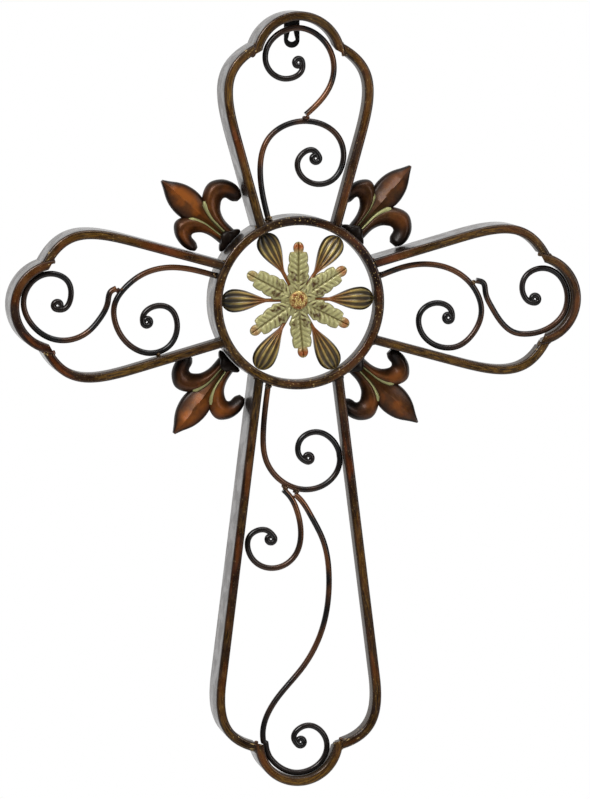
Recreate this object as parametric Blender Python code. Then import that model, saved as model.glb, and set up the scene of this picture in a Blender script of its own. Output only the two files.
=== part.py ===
"""Wall cross of folded sheet and bent rod, with a cast flower in its ring and four cast fleurs-de-lis.

Units are metres, +Z is up, the wall is the plane Y = 0 and the front faces -Y.
The origin is where the nail carries the hanger plate.
"""

import math

import bmesh
import bpy
import numpy as np
from mathutils import Matrix, Vector

MM = 0.001
GAP = 0.3 * MM  # between pieces that touch

# Folded sheet of the ring, the side bars and the bows
SHEET = 1.2 * MM
FRAME_DEPTH = 41 * MM  # outer web, from the wall to the front face
FACE_WIDTH = 9 * MM
LIP_DEPTH = 16 * MM  # inner web, shorter than the outer one
CORNER_RADIUS = 1.8 * MM

# Ring and arms, measured from the ring's centre
RING_RADIUS = 84.8 * MM
SHORT_REACH = 283.2 * MM
LOWER_REACH = 477.8 * MM
SHORT_BOW_RADIUS = 46 * MM
LOWER_BOW_RADIUS = 44.2 * MM
SHORT_ROOT_HALF = 41.8 * MM  # outer half width where the bars leave the ring
LOWER_ROOT_HALF = 44 * MM
SHORT_SPLAY = math.radians(15.6)
LOWER_SPLAY = math.radians(7.15)
SHORT_SHOULDER = 124.8 * MM  # from the bow's tip back to the end of the straight bar
LOWER_SHOULDER = 107 * MM
SHORT_FULLNESS = 0.46  # how far the shoulder swells before it turns in
LOWER_FULLNESS = 0.46
SHORT_CUSP_ANGLE = math.radians(71.2)  # where the bar's outer edge meets the bow, from the arm's axis
LOWER_CUSP_ANGLE = math.radians(78.5)
SHORT_CUSP_LEAN = math.radians(61.5)  # how steeply the bar runs in at the cusp
LOWER_CUSP_LEAN = math.radians(75)

# Scrolls of round rod
ROD = 5.8 * MM
ROD_SETBACK = 9 * MM  # rod's centre behind the front face
ROD_SIDES = 6
ROD_TURN = math.radians(22)  # about what the rod turns between two cross-sections
HOOK_RADIUS = 3.7 * MM  # last tight bend of each scroll
HOOK_TURN = math.radians(180)

# Hanger plate
PLATE_THICKNESS = 1.6 * MM
PLATE_WIDTH = 15.4 * MM
PLATE_BELOW_NAIL = 15.9 * MM
NAIL_BELOW_TIP = 20.6 * MM
NAIL_SLOT_RADIUS = 2.1 * MM
NAIL_HOLE_RADIUS = 4.5 * MM
NAIL_HOLE_DROP = 5.4 * MM

# Flower in the ring: a rosette of fluted petals, a rosette of leaves in front of it and a button
FLOWER_RAISE = 2.5 * MM  # above the ring's centre
FLOWER_SETBACK = 11 * MM  # back of the petals behind the frame's front
PETAL_ANGLES = (0.4, 56, 118, 180, 239.5, 299)
PETAL_CROWN = 5 * MM  # thickness at its middle
PETAL_HALF_WIDTH = 11.4 * MM
PETAL_WIDEST = 0.72  # share of the petal's length
PETAL_FLUTES = 3
FLUTE_DEPTH = 1.3 * MM
STEM_HALF_WIDTH = 1.8 * MM
STEM_LENGTH = 31 * MM
STEM_THICKNESS = 2.6 * MM  # also of the petal's edges
LEAF_ANGLES = (32.4, 89.4, 151.9, 214.5, 275.5, 333.2)
LEAF_LENGTH = 57 * MM
LEAF_HALF_WIDTH = 11.3 * MM
LEAF_TAPER = 0.24  # how much narrower the outermost scallops are
LEAF_THICKNESS = 3 * MM
LEAF_GROOVE = 1.2 * MM
LEAF_SCALLOPS = 3
LEAF_NOTCH = 0.26  # depth of the notches as a share of the half width
LEAF_TIP_HALF_WIDTH = 5.3 * MM
LEAF_TIP_LENGTH = 10 * MM
LEAF_ROOT = 15 * MM
HUB_RADIUS = 17 * MM
HUB_THICKNESS = 2 * MM
BUTTON_RADIUS = 9.2 * MM
BUTTON_HEIGHT = 4 * MM
BUTTON_RIM = 0.4  # share of the height where the dome begins

# Fleurs-de-lis
FLEUR_LENGTH = 91 * MM
FLEUR_HALF_WIDTH = 14.8 * MM  # of the middle petal
FLEUR_THICKNESS = 10 * MM
CURL_THICKNESS = 9 * MM
FLEUR_EDGE = 5 * MM
FLEUR_OFF_WALL = 3 * MM
COLLAR_HALF_WIDTH = 14.5 * MM
COLLAR_HEIGHT = 13 * MM
COLLAR_THICKNESS = 11.5 * MM
COLLAR_END = 0.7  # size of its ends as a share of its height and thickness
UPRIGHT = 90  # place round the ring, in degrees, of its top
FLEURS = {
    "fleur_upper_left": (136.5, 2.0),  # place round the ring and lean from it, in degrees
    "fleur_upper_right": (46.8, 2.0),
    "fleur_lower_left": (222.8, 9.0),
    "fleur_lower_right": (314.5, 2.0),
}

# Middle petal of a fleur: share of its length, share of its half width
LANCE = (
    (0.04, 0.17), (0.24, 0.24), (0.37, 0.39), (0.46, 0.62), (0.54, 0.92), (0.64, 1.0), (0.75, 0.9),
    (0.84, 0.68), (0.93, 0.33), (1, 0.08),
)

# Side petal of a fleur, which curls out and down: points of its outer and its inner edge, across and up,
# as shares of the fleur's length
CURL = (
    ((0.01, 0.05), (0.11, 0.05)), ((0.025, 0.22), (0.12, 0.20)), ((0.035, 0.36), (0.16, 0.30)),
    ((0.09, 0.50), (0.22, 0.355)), ((0.20, 0.58), (0.258, 0.37)), ((0.31, 0.59), (0.285, 0.362)),
    ((0.41, 0.51), (0.297, 0.34)), ((0.455, 0.40), (0.30, 0.312)), ((0.45, 0.30), (0.31, 0.275)),
    ((0.41, 0.235), (0.34, 0.235)),
)

CREASE = math.radians(35)  # bend from which two faces meet in a sharp edge
FRONT = -FRAME_DEPTH
ROD_Y = FRONT + ROD_SETBACK
RING_CENTRE = Vector((0, 0, NAIL_BELOW_TIP - SHORT_REACH))


class Arm:
    """One arm, in its own coordinates: distance out from the ring's centre and offset to the side."""

    def __init__(self, reach, bow_radius, root_half, splay, shoulder, fullness, cusp_angle, lean):
        self.reach = reach
        self.bow_radius = bow_radius
        self.bow_centre = reach - bow_radius
        root = math.sqrt((RING_RADIUS + GAP) ** 2 - root_half ** 2)
        straight = reach - shoulder - root
        bend = Vector((root + straight, root_half + straight * math.tan(splay)))
        cusp = self.on_bow(cusp_angle, 0)
        handle = fullness * (cusp - bend).length
        self.bezier = (
            bend,
            bend + handle * Vector((math.cos(splay), math.sin(splay))),
            cusp + handle * Vector((-math.cos(lean), math.sin(lean))),
            cusp,
        )

    def on_bow(self, angle, inset):
        """Point of the bow at an angle from the arm's axis, inset from its outer side."""
        radius = self.bow_radius - inset
        return Vector((self.bow_centre + radius * math.cos(angle), radius * math.sin(angle)))

    def shoulder(self, t, inset):
        """Point of the bar's curved stretch, from the straight bar at 0 to the cusp at 1."""
        p0, p1, p2, p3 = self.bezier
        s = 1 - t
        point = s ** 3 * p0 + 3 * s * s * t * p1 + 3 * s * t * t * p2 + t ** 3 * p3
        along = (s * s * (p1 - p0) + 2 * s * t * (p2 - p1) + t * t * (p3 - p2)).normalized()
        return point + inset * Vector((along.y, -along.x)), along

    def bar_half(self, distance, inset):
        """Half width between the bars at a distance from the ring's centre."""
        start, along = self.shoulder(0, inset)
        if distance <= start.x:
            return start.y - (start.x - distance) * along.y / along.x
        low, high = 0.0, 1.0
        for _ in range(30):
            middle = (low + high) / 2
            if self.shoulder(middle, inset)[0].x < distance:
                low = middle
            else:
                high = middle
        return self.shoulder(low, inset)[0].y

    def rod_point(self, far, side):
        """Place on a rod's centre line, from its share of the way from the ring's edge to the arm's end and
        its share of the free half width there, or past the bow's centre of the bow's free radius.
        """
        inset = FACE_WIDTH + ROD / 2 + GAP
        distance = RING_RADIUS + far * (self.reach - RING_RADIUS)
        if distance <= self.bow_centre:
            return Vector((distance, side * self.bar_half(distance, inset)))
        return self.kept_inside(Vector((distance, side * (self.bow_radius - inset))))

    def kept_inside(self, point):
        """Place on a rod's centre line, brought in to lie along the bar or the bow where it is outside."""
        inset = FACE_WIDTH + ROD / 2 + GAP
        free = self.bow_radius - inset
        half = self.bar_half(point.x, inset)
        clear_of_bow = math.hypot(point.x - self.bow_centre, half) > free
        if point.x <= self.bow_centre or clear_of_bow and point.x < self.shoulder(1, inset)[0].x:
            return Vector((point.x, max(-half, min(half, point.y))))
        centre = Vector((self.bow_centre, 0))
        from_centre = point - centre
        if from_centre.length > free:
            from_centre.length = free
        return centre + from_centre


SHORT_ARM = Arm(SHORT_REACH, SHORT_BOW_RADIUS, SHORT_ROOT_HALF, SHORT_SPLAY, SHORT_SHOULDER,
                SHORT_FULLNESS, SHORT_CUSP_ANGLE, SHORT_CUSP_LEAN)
LOWER_ARM = Arm(LOWER_REACH, LOWER_BOW_RADIUS, LOWER_ROOT_HALF, LOWER_SPLAY, LOWER_SHOULDER,
                LOWER_FULLNESS, LOWER_CUSP_ANGLE, LOWER_CUSP_LEAN)

# Each arm's name, direction in degrees, form, and the names of its sides, left-hand one first
ARMS = (
    ("upper_arm", 90, SHORT_ARM, ("left", "right")),
    ("left_arm", 180, SHORT_ARM, ("lower", "upper")),
    ("lower_arm", 270, LOWER_ARM, ("right", "left")),
    ("right_arm", 0, SHORT_ARM, ("upper", "lower")),
)

# Each scroll: its arm, what it starts beside (another scroll and a share of that scroll's length before its
# hook, or else the ring) and the points it passes through, as a share of the way from the ring's edge to the
# arm's end and a share of the free half width there, where 1 touches the bar or the bow
SCROLLS = {
    "upper_arm_inner_scroll": (
        "upper_arm", None,
        ((0.018, 0.92), (0.197, 0.86), (0.378, 0.55), (0.463, -0.1), (0.393, -0.72), (0.293, -0.94),
         (0.171, -0.81), (0.154, -0.45), (0.199, -0.07), (0.274, -0.01), (0.322, -0.27),
         (0.288, -0.44)),
    ),
    "upper_arm_outer_scroll": (
        "upper_arm", ("upper_arm_inner_scroll", 0.422),
        ((0.572, -0.39), (0.661, -0.56), (0.743, -0.7), (0.84, -0.83), (0.918, -0.05), (0.895, 0.51),
         (0.821, 0.9), (0.737, 0.59), (0.671, 0.23), (0.706, -0.06), (0.754, -0.09)),
    ),
    "left_arm_inner_scroll": (
        "left_arm", None,
        ((0.029, -0.87), (0.214, -0.82), (0.333, -0.61), (0.424, -0.33), (0.483, -0.01),
         (0.475, 0.34), (0.409, 0.71), (0.313, 0.95), (0.219, 0.93), (0.174, 0.55), (0.207, 0.1),
         (0.269, 0.02), (0.339, 0.18), (0.343, 0.34)),
    ),
    "left_arm_outer_scroll": (
        "left_arm", ("left_arm_inner_scroll", 0.356),
        ((0.501, -0.23), (0.516, -0.06), (0.557, 0.21), (0.612, 0.4), (0.697, 0.56), (0.788, 0.93),
         (0.885, 0.54), (0.93, -0.14), (0.889, -0.73), (0.798, -0.94), (0.716, -0.45),
         (0.697, -0.19), (0.728, 0.04), (0.769, 0.08)),
    ),
    "right_arm_inner_scroll": (
        "right_arm", None,
        ((0.019, 0.82), (0.124, 0.87), (0.259, 0.75), (0.397, 0.45), (0.475, 0.12), (0.5, -0.2),
         (0.463, -0.56), (0.376, -0.87), (0.274, -0.95), (0.192, -0.7), (0.189, -0.3),
         (0.275, -0.06), (0.341, -0.17), (0.351, -0.35)),
    ),
    "right_arm_outer_scroll": (
        "right_arm", ("right_arm_inner_scroll", 0.350),
        ((0.509, 0.27), (0.52, 0.12), (0.549, -0.11), (0.613, -0.41), (0.662, -0.54),
         (0.731, -0.66), (0.84, -0.88), (0.925, -0.39), (0.943, 0.06), (0.904, 0.66), (0.811, 0.88),
         (0.722, 0.39), (0.709, 0.13), (0.74, -0.05), (0.772, -0.13)),
    ),
    "lower_arm_ring_scroll": (
        "lower_arm", None,
        ((0.009, -0.9), (0.109, -0.89), (0.175, -0.76), (0.222, -0.45), (0.253, 0.17), (0.241, 0.6),
         (0.203, 0.93), (0.151, 0.98), (0.109, 0.48), (0.129, 0.06), (0.163, 0.02), (0.183, 0.21)),
    ),
    "lower_arm_side_scroll": (
        "lower_arm", ("lower_arm_ring_scroll", 0.403),
        ((0.269, -0.17), (0.308, -0.01), (0.362, 0.06), (0.416, -0.04), (0.446, -0.32),
         (0.441, -0.68), (0.402, -0.93), (0.366, -0.93), (0.351, -0.69), (0.37, -0.46)),
    ),
    "lower_arm_long_scroll": (
        "lower_arm", ("lower_arm_ring_scroll", 0.443),
        ((0.273, 0.02), (0.322, 0.28), (0.379, 0.48), (0.482, 0.55), (0.614, 0.37), (0.7, 0.08),
         (0.787, -0.33), (0.859, -0.6), (0.928, -0.91), (0.97, -0.02), (0.934, 0.81), (0.885, 0.7),
         (0.85, 0.14), (0.874, -0.08), (0.898, 0)),
    ),
}


def new_material(name, colour, roughness, metallic):
    material = bpy.data.materials.new(name)
    material.use_nodes = True
    shader = material.node_tree.nodes["Principled BSDF"]
    shader.inputs["Base Color"].default_value = (*colour, 1)
    shader.inputs["Roughness"].default_value = roughness
    shader.inputs["Metallic"].default_value = metallic
    material.diffuse_color = (*colour, 1)
    return material


def mesh_of(name, sections, caps, closed=False):
    """Skin over a row of equal cross-sections, closed by cap faces that index one section."""
    bm = bmesh.new()
    rows = [[bm.verts.new(point) for point in section] for section in sections]
    count = len(rows[0])
    pairs = list(zip(rows, rows[1:]))
    if closed:
        pairs.append((rows[-1], rows[0]))
    for one, two in pairs:
        for k in range(count):
            n = (k + 1) % count
            bm.faces.new((one[k], one[n], two[n], two[k]))
    for row in () if closed else (rows[0], rows[-1]):
        for cap in caps:
            bm.faces.new([row[k] for k in cap])
    bmesh.ops.recalc_face_normals(bm, faces=bm.faces)
    mesh = bpy.data.meshes.new(name)
    bm.to_mesh(mesh)
    bm.free()
    mesh.shade_smooth()
    mesh.set_sharp_from_angle(angle=CREASE)
    return mesh


def whole(count):
    """One cap face over a convex section."""
    return (tuple(range(count)),)


def fused(name, meshes):
    """One closed mesh out of overlapping ones."""
    scene = bpy.context.scene.collection
    parts = [bpy.data.objects.new(name, mesh) for mesh in meshes]
    for part in parts:
        scene.objects.link(part)
    base = parts[0]
    for part in parts[1:]:
        union = base.modifiers.new("union", "BOOLEAN")
        union.operation = "UNION"
        union.solver = "EXACT"
        union.object = part
    graph = bpy.context.evaluated_depsgraph_get()
    mesh = bpy.data.meshes.new_from_object(base.evaluated_get(graph))
    mesh.name = name
    for part in parts:
        bpy.data.objects.remove(part)
    mesh.shade_smooth()
    mesh.set_sharp_from_angle(angle=CREASE)
    return mesh


def place(name, mesh, material, parent, location=(0, 0, 0), turn=0.0):
    """Named object, turned about Y by a number of degrees as the viewer in front sees it."""
    thing = bpy.data.objects.new(name, mesh)
    bpy.context.scene.collection.objects.link(thing)
    thing.parent = parent
    thing.location = location
    thing.rotation_euler = (0, -math.radians(turn), 0)
    if not mesh.materials:
        mesh.materials.append(material)
    return thing


def empty(name, parent=None, location=(0, 0, 0), turn=0.0):
    thing = bpy.data.objects.new(name, None)
    bpy.context.scene.collection.objects.link(thing)
    thing.parent = parent
    thing.location = location
    thing.rotation_euler = (0, -math.radians(turn), 0)
    return thing


# Folded sheet section, as inset from the outer side and depth out from the wall
def folded_section():
    r, t, d, w = CORNER_RADIUS, SHEET, FRAME_DEPTH, FACE_WIDTH
    return (
        (0, 0), (0, d - r), (r, d), (w - r, d), (w, d - r), (w, d - LIP_DEPTH),
        (w - t, d - LIP_DEPTH), (w - t, d - t), (t, d - t), (t, 0),
    )


def section_caps():
    """Faces that close the end of a folded sheet, as places in its section."""
    return ((0, 1, 8, 9), (1, 2, 8), (2, 3, 7, 8), (3, 4, 7), (4, 5, 6, 7))


RING_STEPS = 32
BOW_STEPS = 14
SHOULDER_STEPS = 6
HOOK_STEPS = 6
PLATE_STEPS = 24
HUB_SIDES = 18
BUTTON_SIDES = 16
BUTTON_STEPS = 4


def ring_mesh():
    sections = []
    for k in range(RING_STEPS):
        angle = math.tau * (k + 0.5) / RING_STEPS
        sections.append([
            ((RING_RADIUS - inset) * math.cos(angle), -depth, (RING_RADIUS - inset) * math.sin(angle))
            for inset, depth in folded_section()
        ])
    return mesh_of("ring", sections, (), closed=True)


def slide_to_circle(point, along, centre, radius, nearest):
    """Point moved along a line until it lies on a circle, the nearer or the farther crossing."""
    offset = point - centre
    b = offset.dot(along)
    root = math.sqrt(max(b * b - offset.length_squared + radius ** 2, 0))
    return point + along * (-b - root if nearest else -b + root)


def bar_mesh(name, arm, side):
    """Side bar from the ring to the cusp. side is +1 or -1."""
    stations = []
    for k in range(-1, SHOULDER_STEPS + 1):
        sections = []
        for inset, depth in folded_section():
            point, along = arm.shoulder(max(k, 0) / SHOULDER_STEPS, inset)
            if k == -1:
                point = slide_to_circle(point, along, Vector((0, 0)), RING_RADIUS + GAP, False)
            if k == SHOULDER_STEPS:
                centre = Vector((arm.bow_centre, 0))
                point = slide_to_circle(point, along, centre, arm.bow_radius + GAP, True)
            sections.append((point.x, -depth, side * point.y))
        stations.append(sections)
    return mesh_of(name, stations, section_caps())


def bow_end(arm, inset):
    """Angle from the arm's axis at which the bow is cut off, in line with the bar's inner edge."""
    edge, along = arm.shoulder(1, FACE_WIDTH)
    centre = Vector((arm.bow_centre, 0))
    end = slide_to_circle(edge, along, centre, arm.bow_radius - inset, True) - centre
    return math.atan2(end.y, end.x)


def bow_mesh(name, arm):
    stations = []
    for k in range(BOW_STEPS + 1):
        share = 2 * k / BOW_STEPS - 1
        stations.append([])
        for inset, depth in folded_section():
            point = arm.on_bow(share * bow_end(arm, inset), inset)
            stations[-1].append((point.x, -depth, point.y))
    return mesh_of(name, stations, section_caps())


def smooth_line(points, steps=12):
    """Dense points of the line that a springy rod takes through a few points."""
    p = np.array([tuple(point) for point in points])
    spans = np.linalg.norm(np.diff(p, axis=0), axis=1)
    slopes = np.diff(p, axis=0) / spans[:, None]
    count = len(p)
    ties, pull = np.zeros((count, count)), np.zeros((count, 2))
    for k in range(1, count - 1):
        ties[k, k - 1:k + 2] = spans[k - 1], 2 * (spans[k - 1] + spans[k]), spans[k]
        pull[k] = 6 * (slopes[k] - slopes[k - 1])
    ties[0, 0] = 1  # straight at its start
    ties[-1, -2:] = -1, 1  # still bending at its end
    bends = np.linalg.solve(ties, pull)
    dense = []
    for k, span in enumerate(spans):
        for step in range(steps):
            b = step / steps
            a = 1 - b
            spot = a * p[k] + b * p[k + 1]
            spot = spot + ((a ** 3 - a) * bends[k] + (b ** 3 - b) * bends[k + 1]) * span ** 2 / 6
            dense.append(Vector(spot))
    return dense + [points[-1]]


def hooked(line):
    """Line that ends in a tight hook, turning the way it already turns."""
    before, after = line[-2] - line[-3], line[-1] - line[-2]
    bend = math.copysign(HOOK_TURN / HOOK_STEPS, -before.angle_signed(after))
    heading = math.atan2(after.y, after.x)
    result = list(line)
    for _ in range(HOOK_STEPS):
        heading += bend / 2
        result.append(result[-1] + abs(bend) * HOOK_RADIUS * Vector((math.cos(heading), math.sin(heading))))
        heading += bend / 2
    return result


def beside(line, share):
    """Point a rod's width away from another rod's line, on the side away from the ring."""
    lengths = [0.0]
    for one, two in zip(line, line[1:]):
        lengths.append(lengths[-1] + (two - one).length)
    k = next(i for i, length in enumerate(lengths) if length >= share * lengths[-1])
    along = (line[k + 1] - line[k]).normalized()
    out = Vector((along.y, -along.x))
    if out.x < 0:
        out = -out
    return line[k] + out * (ROD + GAP)


def scroll_lines():
    """Centre line of every scroll, in its arm's coordinates."""
    forms = {name: form for name, _, form, _ in ARMS}
    lines = {}
    for name, (arm_name, start, shares) in SCROLLS.items():
        arm = forms[arm_name]
        points = [arm.rod_point(far, side) for far, side in shares]
        if start:
            points.insert(0, beside(lines[start[0]], start[1]))
        else:
            inward = (points[0] - points[1]).normalized()
            points[0] = slide_to_circle(points[1], inward, Vector((0, 0)), RING_RADIUS + ROD / 2, True)
        lines[name] = [arm.kept_inside(point) for point in smooth_line(points)]
    return {name: hooked(line) for name, line in lines.items()}


def stations(line):
    """The points of a line that a rod needs so that it turns a little at each, and their headings."""
    kept = [0]
    turned = 0.0
    for k in range(1, len(line) - 1):
        before, after = line[k] - line[k - 1], line[k + 1] - line[k]
        turned += before.angle(after)
        if turned >= ROD_TURN:
            kept.append(k)
            turned = 0.0
    kept.append(len(line) - 1)
    result = []
    for k in kept:
        along = (line[min(k + 1, len(line) - 1)] - line[max(k - 1, 0)]).normalized()
        result.append((line[k], along))
    return result


def rod_mesh(name, line):
    sections = []
    same_area = math.sqrt(math.tau / (ROD_SIDES * math.sin(math.tau / ROD_SIDES)))
    for point, along in stations(line):
        section = []
        for k in range(ROD_SIDES):
            angle = math.tau * (k + 0.5) / ROD_SIDES
            across = same_area * ROD / 2 * math.cos(angle)
            spot = point + across * Vector((-along.y, along.x))
            section.append((spot.x, ROD_Y + same_area * ROD / 2 * math.sin(angle), spot.y))
        sections.append(section)
    return mesh_of(name, sections, whole(ROD_SIDES))


def plate_mesh():
    """Hanger plate with a nail hole that narrows upwards to the nail's seat at the origin."""
    half = PLATE_WIDTH / 2
    eye = Vector((0, half - PLATE_BELOW_NAIL))
    top = SHORT_BOW_RADIUS - SHEET - GAP
    bow_centre = Vector((0, NAIL_BELOW_TIP - SHORT_BOW_RADIUS))
    corner = bow_centre + Vector((half, math.sqrt(top ** 2 - half ** 2))) - eye
    corner_angle = math.atan2(corner.y, corner.x)
    angles = [corner_angle, math.pi - corner_angle]
    angles += [math.tau * k / PLATE_STEPS for k in range(PLATE_STEPS)]
    widening = (NAIL_HOLE_RADIUS - NAIL_SLOT_RADIUS) / NAIL_HOLE_DROP
    outline, hole = [], []
    for angle in sorted(angles):
        ray = Vector((math.cos(angle), math.sin(angle)))
        reach = half
        if ray.y > 0:
            reach = min(
                half / max(abs(ray.x), MM),
                (slide_to_circle(eye, ray, bow_centre, top, False) - eye).length,
            )
        outline.append(eye + reach * ray)
        if ray.y > -widening:
            hole.append(NAIL_SLOT_RADIUS * ray)
        else:
            hole.append(Vector((0, -NAIL_HOLE_DROP)) + NAIL_HOLE_RADIUS * ray)
    sections = []
    for line, depth in ((outline, 0), (outline, PLATE_THICKNESS), (hole, PLATE_THICKNESS), (hole, 0)):
        sections.append([(point.x, -depth, point.y) for point in line])
    return mesh_of("hanger_plate", sections, (), closed=True)


def disc_mesh(profile, sides):
    """Round solid from radius and thickness pairs, from the back's edge to the front's middle."""
    sections = []
    for radius, thickness in profile:
        section = []
        for k in range(sides):
            angle = math.tau * (k + 0.5) / sides
            section.append((radius * math.cos(angle), -thickness, radius * math.sin(angle)))
        sections.append(section)
    return mesh_of("disc", sections, whole(sides))


def spoke_mesh(sections, angle):
    """Solid along a spoke of the flower. A section has points of distance out, offset and thickness."""
    out = Vector((math.cos(angle), 0, math.sin(angle)))
    aside = Vector((-math.sin(angle), 0, math.cos(angle)))
    turned = [
        [far * out + side * aside + Vector((0, -thickness, 0)) for far, side, thickness in section]
        for section in sections
    ]
    return mesh_of("spoke", turned, whole(len(turned[0])))


def petal_half(share):
    """Half width of a petal at a share of its length past the stem."""
    if share < PETAL_WIDEST:
        swell = math.sin(math.pi / 2 * share / PETAL_WIDEST) ** 1.3
        return STEM_HALF_WIDTH + (PETAL_HALF_WIDTH - STEM_HALF_WIDTH) * swell
    return PETAL_HALF_WIDTH * math.sqrt(1 - ((share - PETAL_WIDEST) / (1 - PETAL_WIDEST)) ** 2)


def petal_mesh(angle):
    """One petal with its stem, out to the inner side of the ring."""
    rim = (RING_RADIUS - FACE_WIDTH) * math.cos(math.pi / RING_STEPS) - GAP
    eye = Vector((0, FLOWER_RAISE))
    ray = Vector((math.cos(angle), math.sin(angle)))
    length = (slide_to_circle(eye, ray, Vector((0, 0)), rim, False) - eye).length
    ridges = 2 * PETAL_FLUTES
    sections = []
    for share in (None, 0, 0.3, PETAL_WIDEST, 0.9, 1):
        if share is None:
            far, half, crown, flute = HUB_RADIUS / 2, STEM_HALF_WIDTH, 0, 0
        else:
            far = STEM_LENGTH + (length - STEM_LENGTH) * share
            half = max(petal_half(share), STEM_HALF_WIDTH / 2)
            body = math.sin(math.pi * share)
            crown, flute = (PETAL_CROWN - STEM_THICKNESS) * body, FLUTE_DEPTH * body
        section = [(far, half, 0), (far, -half, 0)]
        for k in range(ridges + 1):
            across = k / ridges * 2 - 1
            raised = STEM_THICKNESS + crown * (1 - across ** 2) - (flute if k % 2 else 0)
            section.append((far, half * across, raised))
        sections.append(section)
    return spoke_mesh(sections, angle)


def leaf_half(far):
    """Half width of a leaf at a distance from the flower's middle: scallops, then a round tip."""
    body = LEAF_LENGTH - LEAF_TIP_LENGTH
    if far > body:
        share = (far - body) / LEAF_TIP_LENGTH
        return LEAF_TIP_HALF_WIDTH * math.sqrt(max(1 - (share * 1.6 - 0.6) ** 2, 0))
    count = LEAF_SCALLOPS * (body - far) / (body - LEAF_ROOT)
    within = count % 1
    envelope = LEAF_HALF_WIDTH * (1 - LEAF_TAPER * (1 - count / LEAF_SCALLOPS))
    return envelope * (1 - LEAF_NOTCH + LEAF_NOTCH * math.sqrt(4 * within * (1 - within)))


def leaf_mesh(angle):
    body = LEAF_LENGTH - LEAF_TIP_LENGTH
    places = [HUB_RADIUS / 2]
    for k in range(LEAF_SCALLOPS):
        for within in (0.05, 0.5, 0.8):
            places.append(LEAF_ROOT + (body - LEAF_ROOT) * (k + within) / LEAF_SCALLOPS)
    places += [body + LEAF_TIP_LENGTH * share for share in (0, 0.4, 0.8, 1)]
    sections = []
    for far in places:
        half = min(max(leaf_half(max(far, LEAF_ROOT)), STEM_HALF_WIDTH / 2), far / 2)
        crest = LEAF_THICKNESS * min(1, half / LEAF_TIP_HALF_WIDTH)
        groove = crest - LEAF_GROOVE * crest / LEAF_THICKNESS
        sections.append([
            (far, -half, 0), (far, -half / 2, crest), (far, 0, groove), (far, half / 2, crest),
            (far, half, 0),
        ])
    return spoke_mesh(sections, angle)


def button_mesh():
    profile = [(BUTTON_RADIUS, 0)]
    for k in range(BUTTON_STEPS):
        angle = math.pi / 2 * k / BUTTON_STEPS
        rise = BUTTON_RIM + (1 - BUTTON_RIM) * math.sin(angle)
        profile.append((BUTTON_RADIUS * math.cos(angle), BUTTON_HEIGHT * rise))
    return disc_mesh(profile, BUTTON_SIDES)


def lance_mesh():
    """Middle petal of a fleur, with a ridge along it."""
    sections = []
    for up, wide in LANCE:
        half = wide * FLEUR_HALF_WIDTH
        z = RING_RADIUS + up * FLEUR_LENGTH
        edge = FLEUR_EDGE * min(1, 0.5 + wide)
        ridge = FLEUR_THICKNESS * min(1, 0.5 + wide)
        outline = ((-half, 0), (half, 0), (half, edge), (0, ridge), (-half, edge))
        sections.append([(across, -thickness, z) for across, thickness in outline])
    return mesh_of("lance", sections, whole(5))


def curl_mesh(side, spread):
    """Side petal of a fleur. side is +1 or -1, spread stretches it sideways."""
    sections = []
    for outer, inner in CURL:
        (x0, z0), (x1, z1) = outer, inner
        line = [
            Vector((side * spread * FLEUR_LENGTH * x, RING_RADIUS + FLEUR_LENGTH * z))
            for x, z in ((x0, z0), ((x0 + x1) / 2, (z0 + z1) / 2), (x1, z1))
        ]
        sections.append([
            (line[0].x, 0, line[0].y), (line[2].x, 0, line[2].y), (line[2].x, -FLEUR_EDGE, line[2].y),
            (line[1].x, -CURL_THICKNESS, line[1].y), (line[0].x, -FLEUR_EDGE, line[0].y),
        ])
    return mesh_of("curl", sections, whole(5))


def collar_mesh():
    """Collar of a fleur, hollowed at its foot to the ring."""
    sections = []
    foot_radius = RING_RADIUS + GAP
    for share in (-1, -0.9, -0.5, 0, 0.5, 0.9, 1):
        nib = COLLAR_END if abs(share) == 1 else 1
        across = share * COLLAR_HALF_WIDTH
        foot = math.sqrt(foot_radius ** 2 - across ** 2)
        height = COLLAR_HEIGHT * nib
        thick = COLLAR_THICKNESS * nib
        sections.append([
            (across, 0, foot), (across, 0, foot + height), (across, -thick, foot + height),
            (across, -thick, foot),
        ])
    return mesh_of("collar", sections, whole(4))


def spread_to_bar(base, lean, side):
    """Sideways stretch that brings a fleur's curl up to the outer web of the bar beside it."""
    arm_direction = 90 * round((base - side * 45) / 90)
    arm = LOWER_ARM if arm_direction == 270 else SHORT_ARM
    foot = RING_RADIUS * Vector((math.cos(math.radians(base)), math.sin(math.radians(base))))
    axis = math.radians(base + lean)
    out, across = Vector((math.cos(axis), math.sin(axis))), Vector((math.sin(axis), -math.cos(axis)))
    arm_axis = math.radians(arm_direction)
    arm_out = Vector((math.cos(arm_axis), math.sin(arm_axis)))
    arm_across = Vector((-arm_out.y, arm_out.x))
    low, high = 0.5, 1.5
    for _ in range(20):
        spread = (low + high) / 2
        points = [foot + FLEUR_LENGTH * (z * out + side * spread * x * across) for (x, z), _ in CURL]
        if all(abs(q.dot(arm_across)) > arm.bar_half(q.dot(arm_out), 0) + 2 * GAP for q in points):
            low = spread
        else:
            high = spread
    return low


# Material colours, from the patina
FRAME_BROWN = (0.16, 0.075, 0.035)
SCROLL_GREY = (0.06, 0.05, 0.045)
FLEUR_COPPER = (0.25, 0.09, 0.03)
PETAL_OLIVE = (0.33, 0.26, 0.11)
LEAF_GREEN = (0.46, 0.50, 0.30)
BUTTON_GOLD = (0.55, 0.42, 0.20)
PLATE_BLACK = (0.02, 0.02, 0.02)


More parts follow.
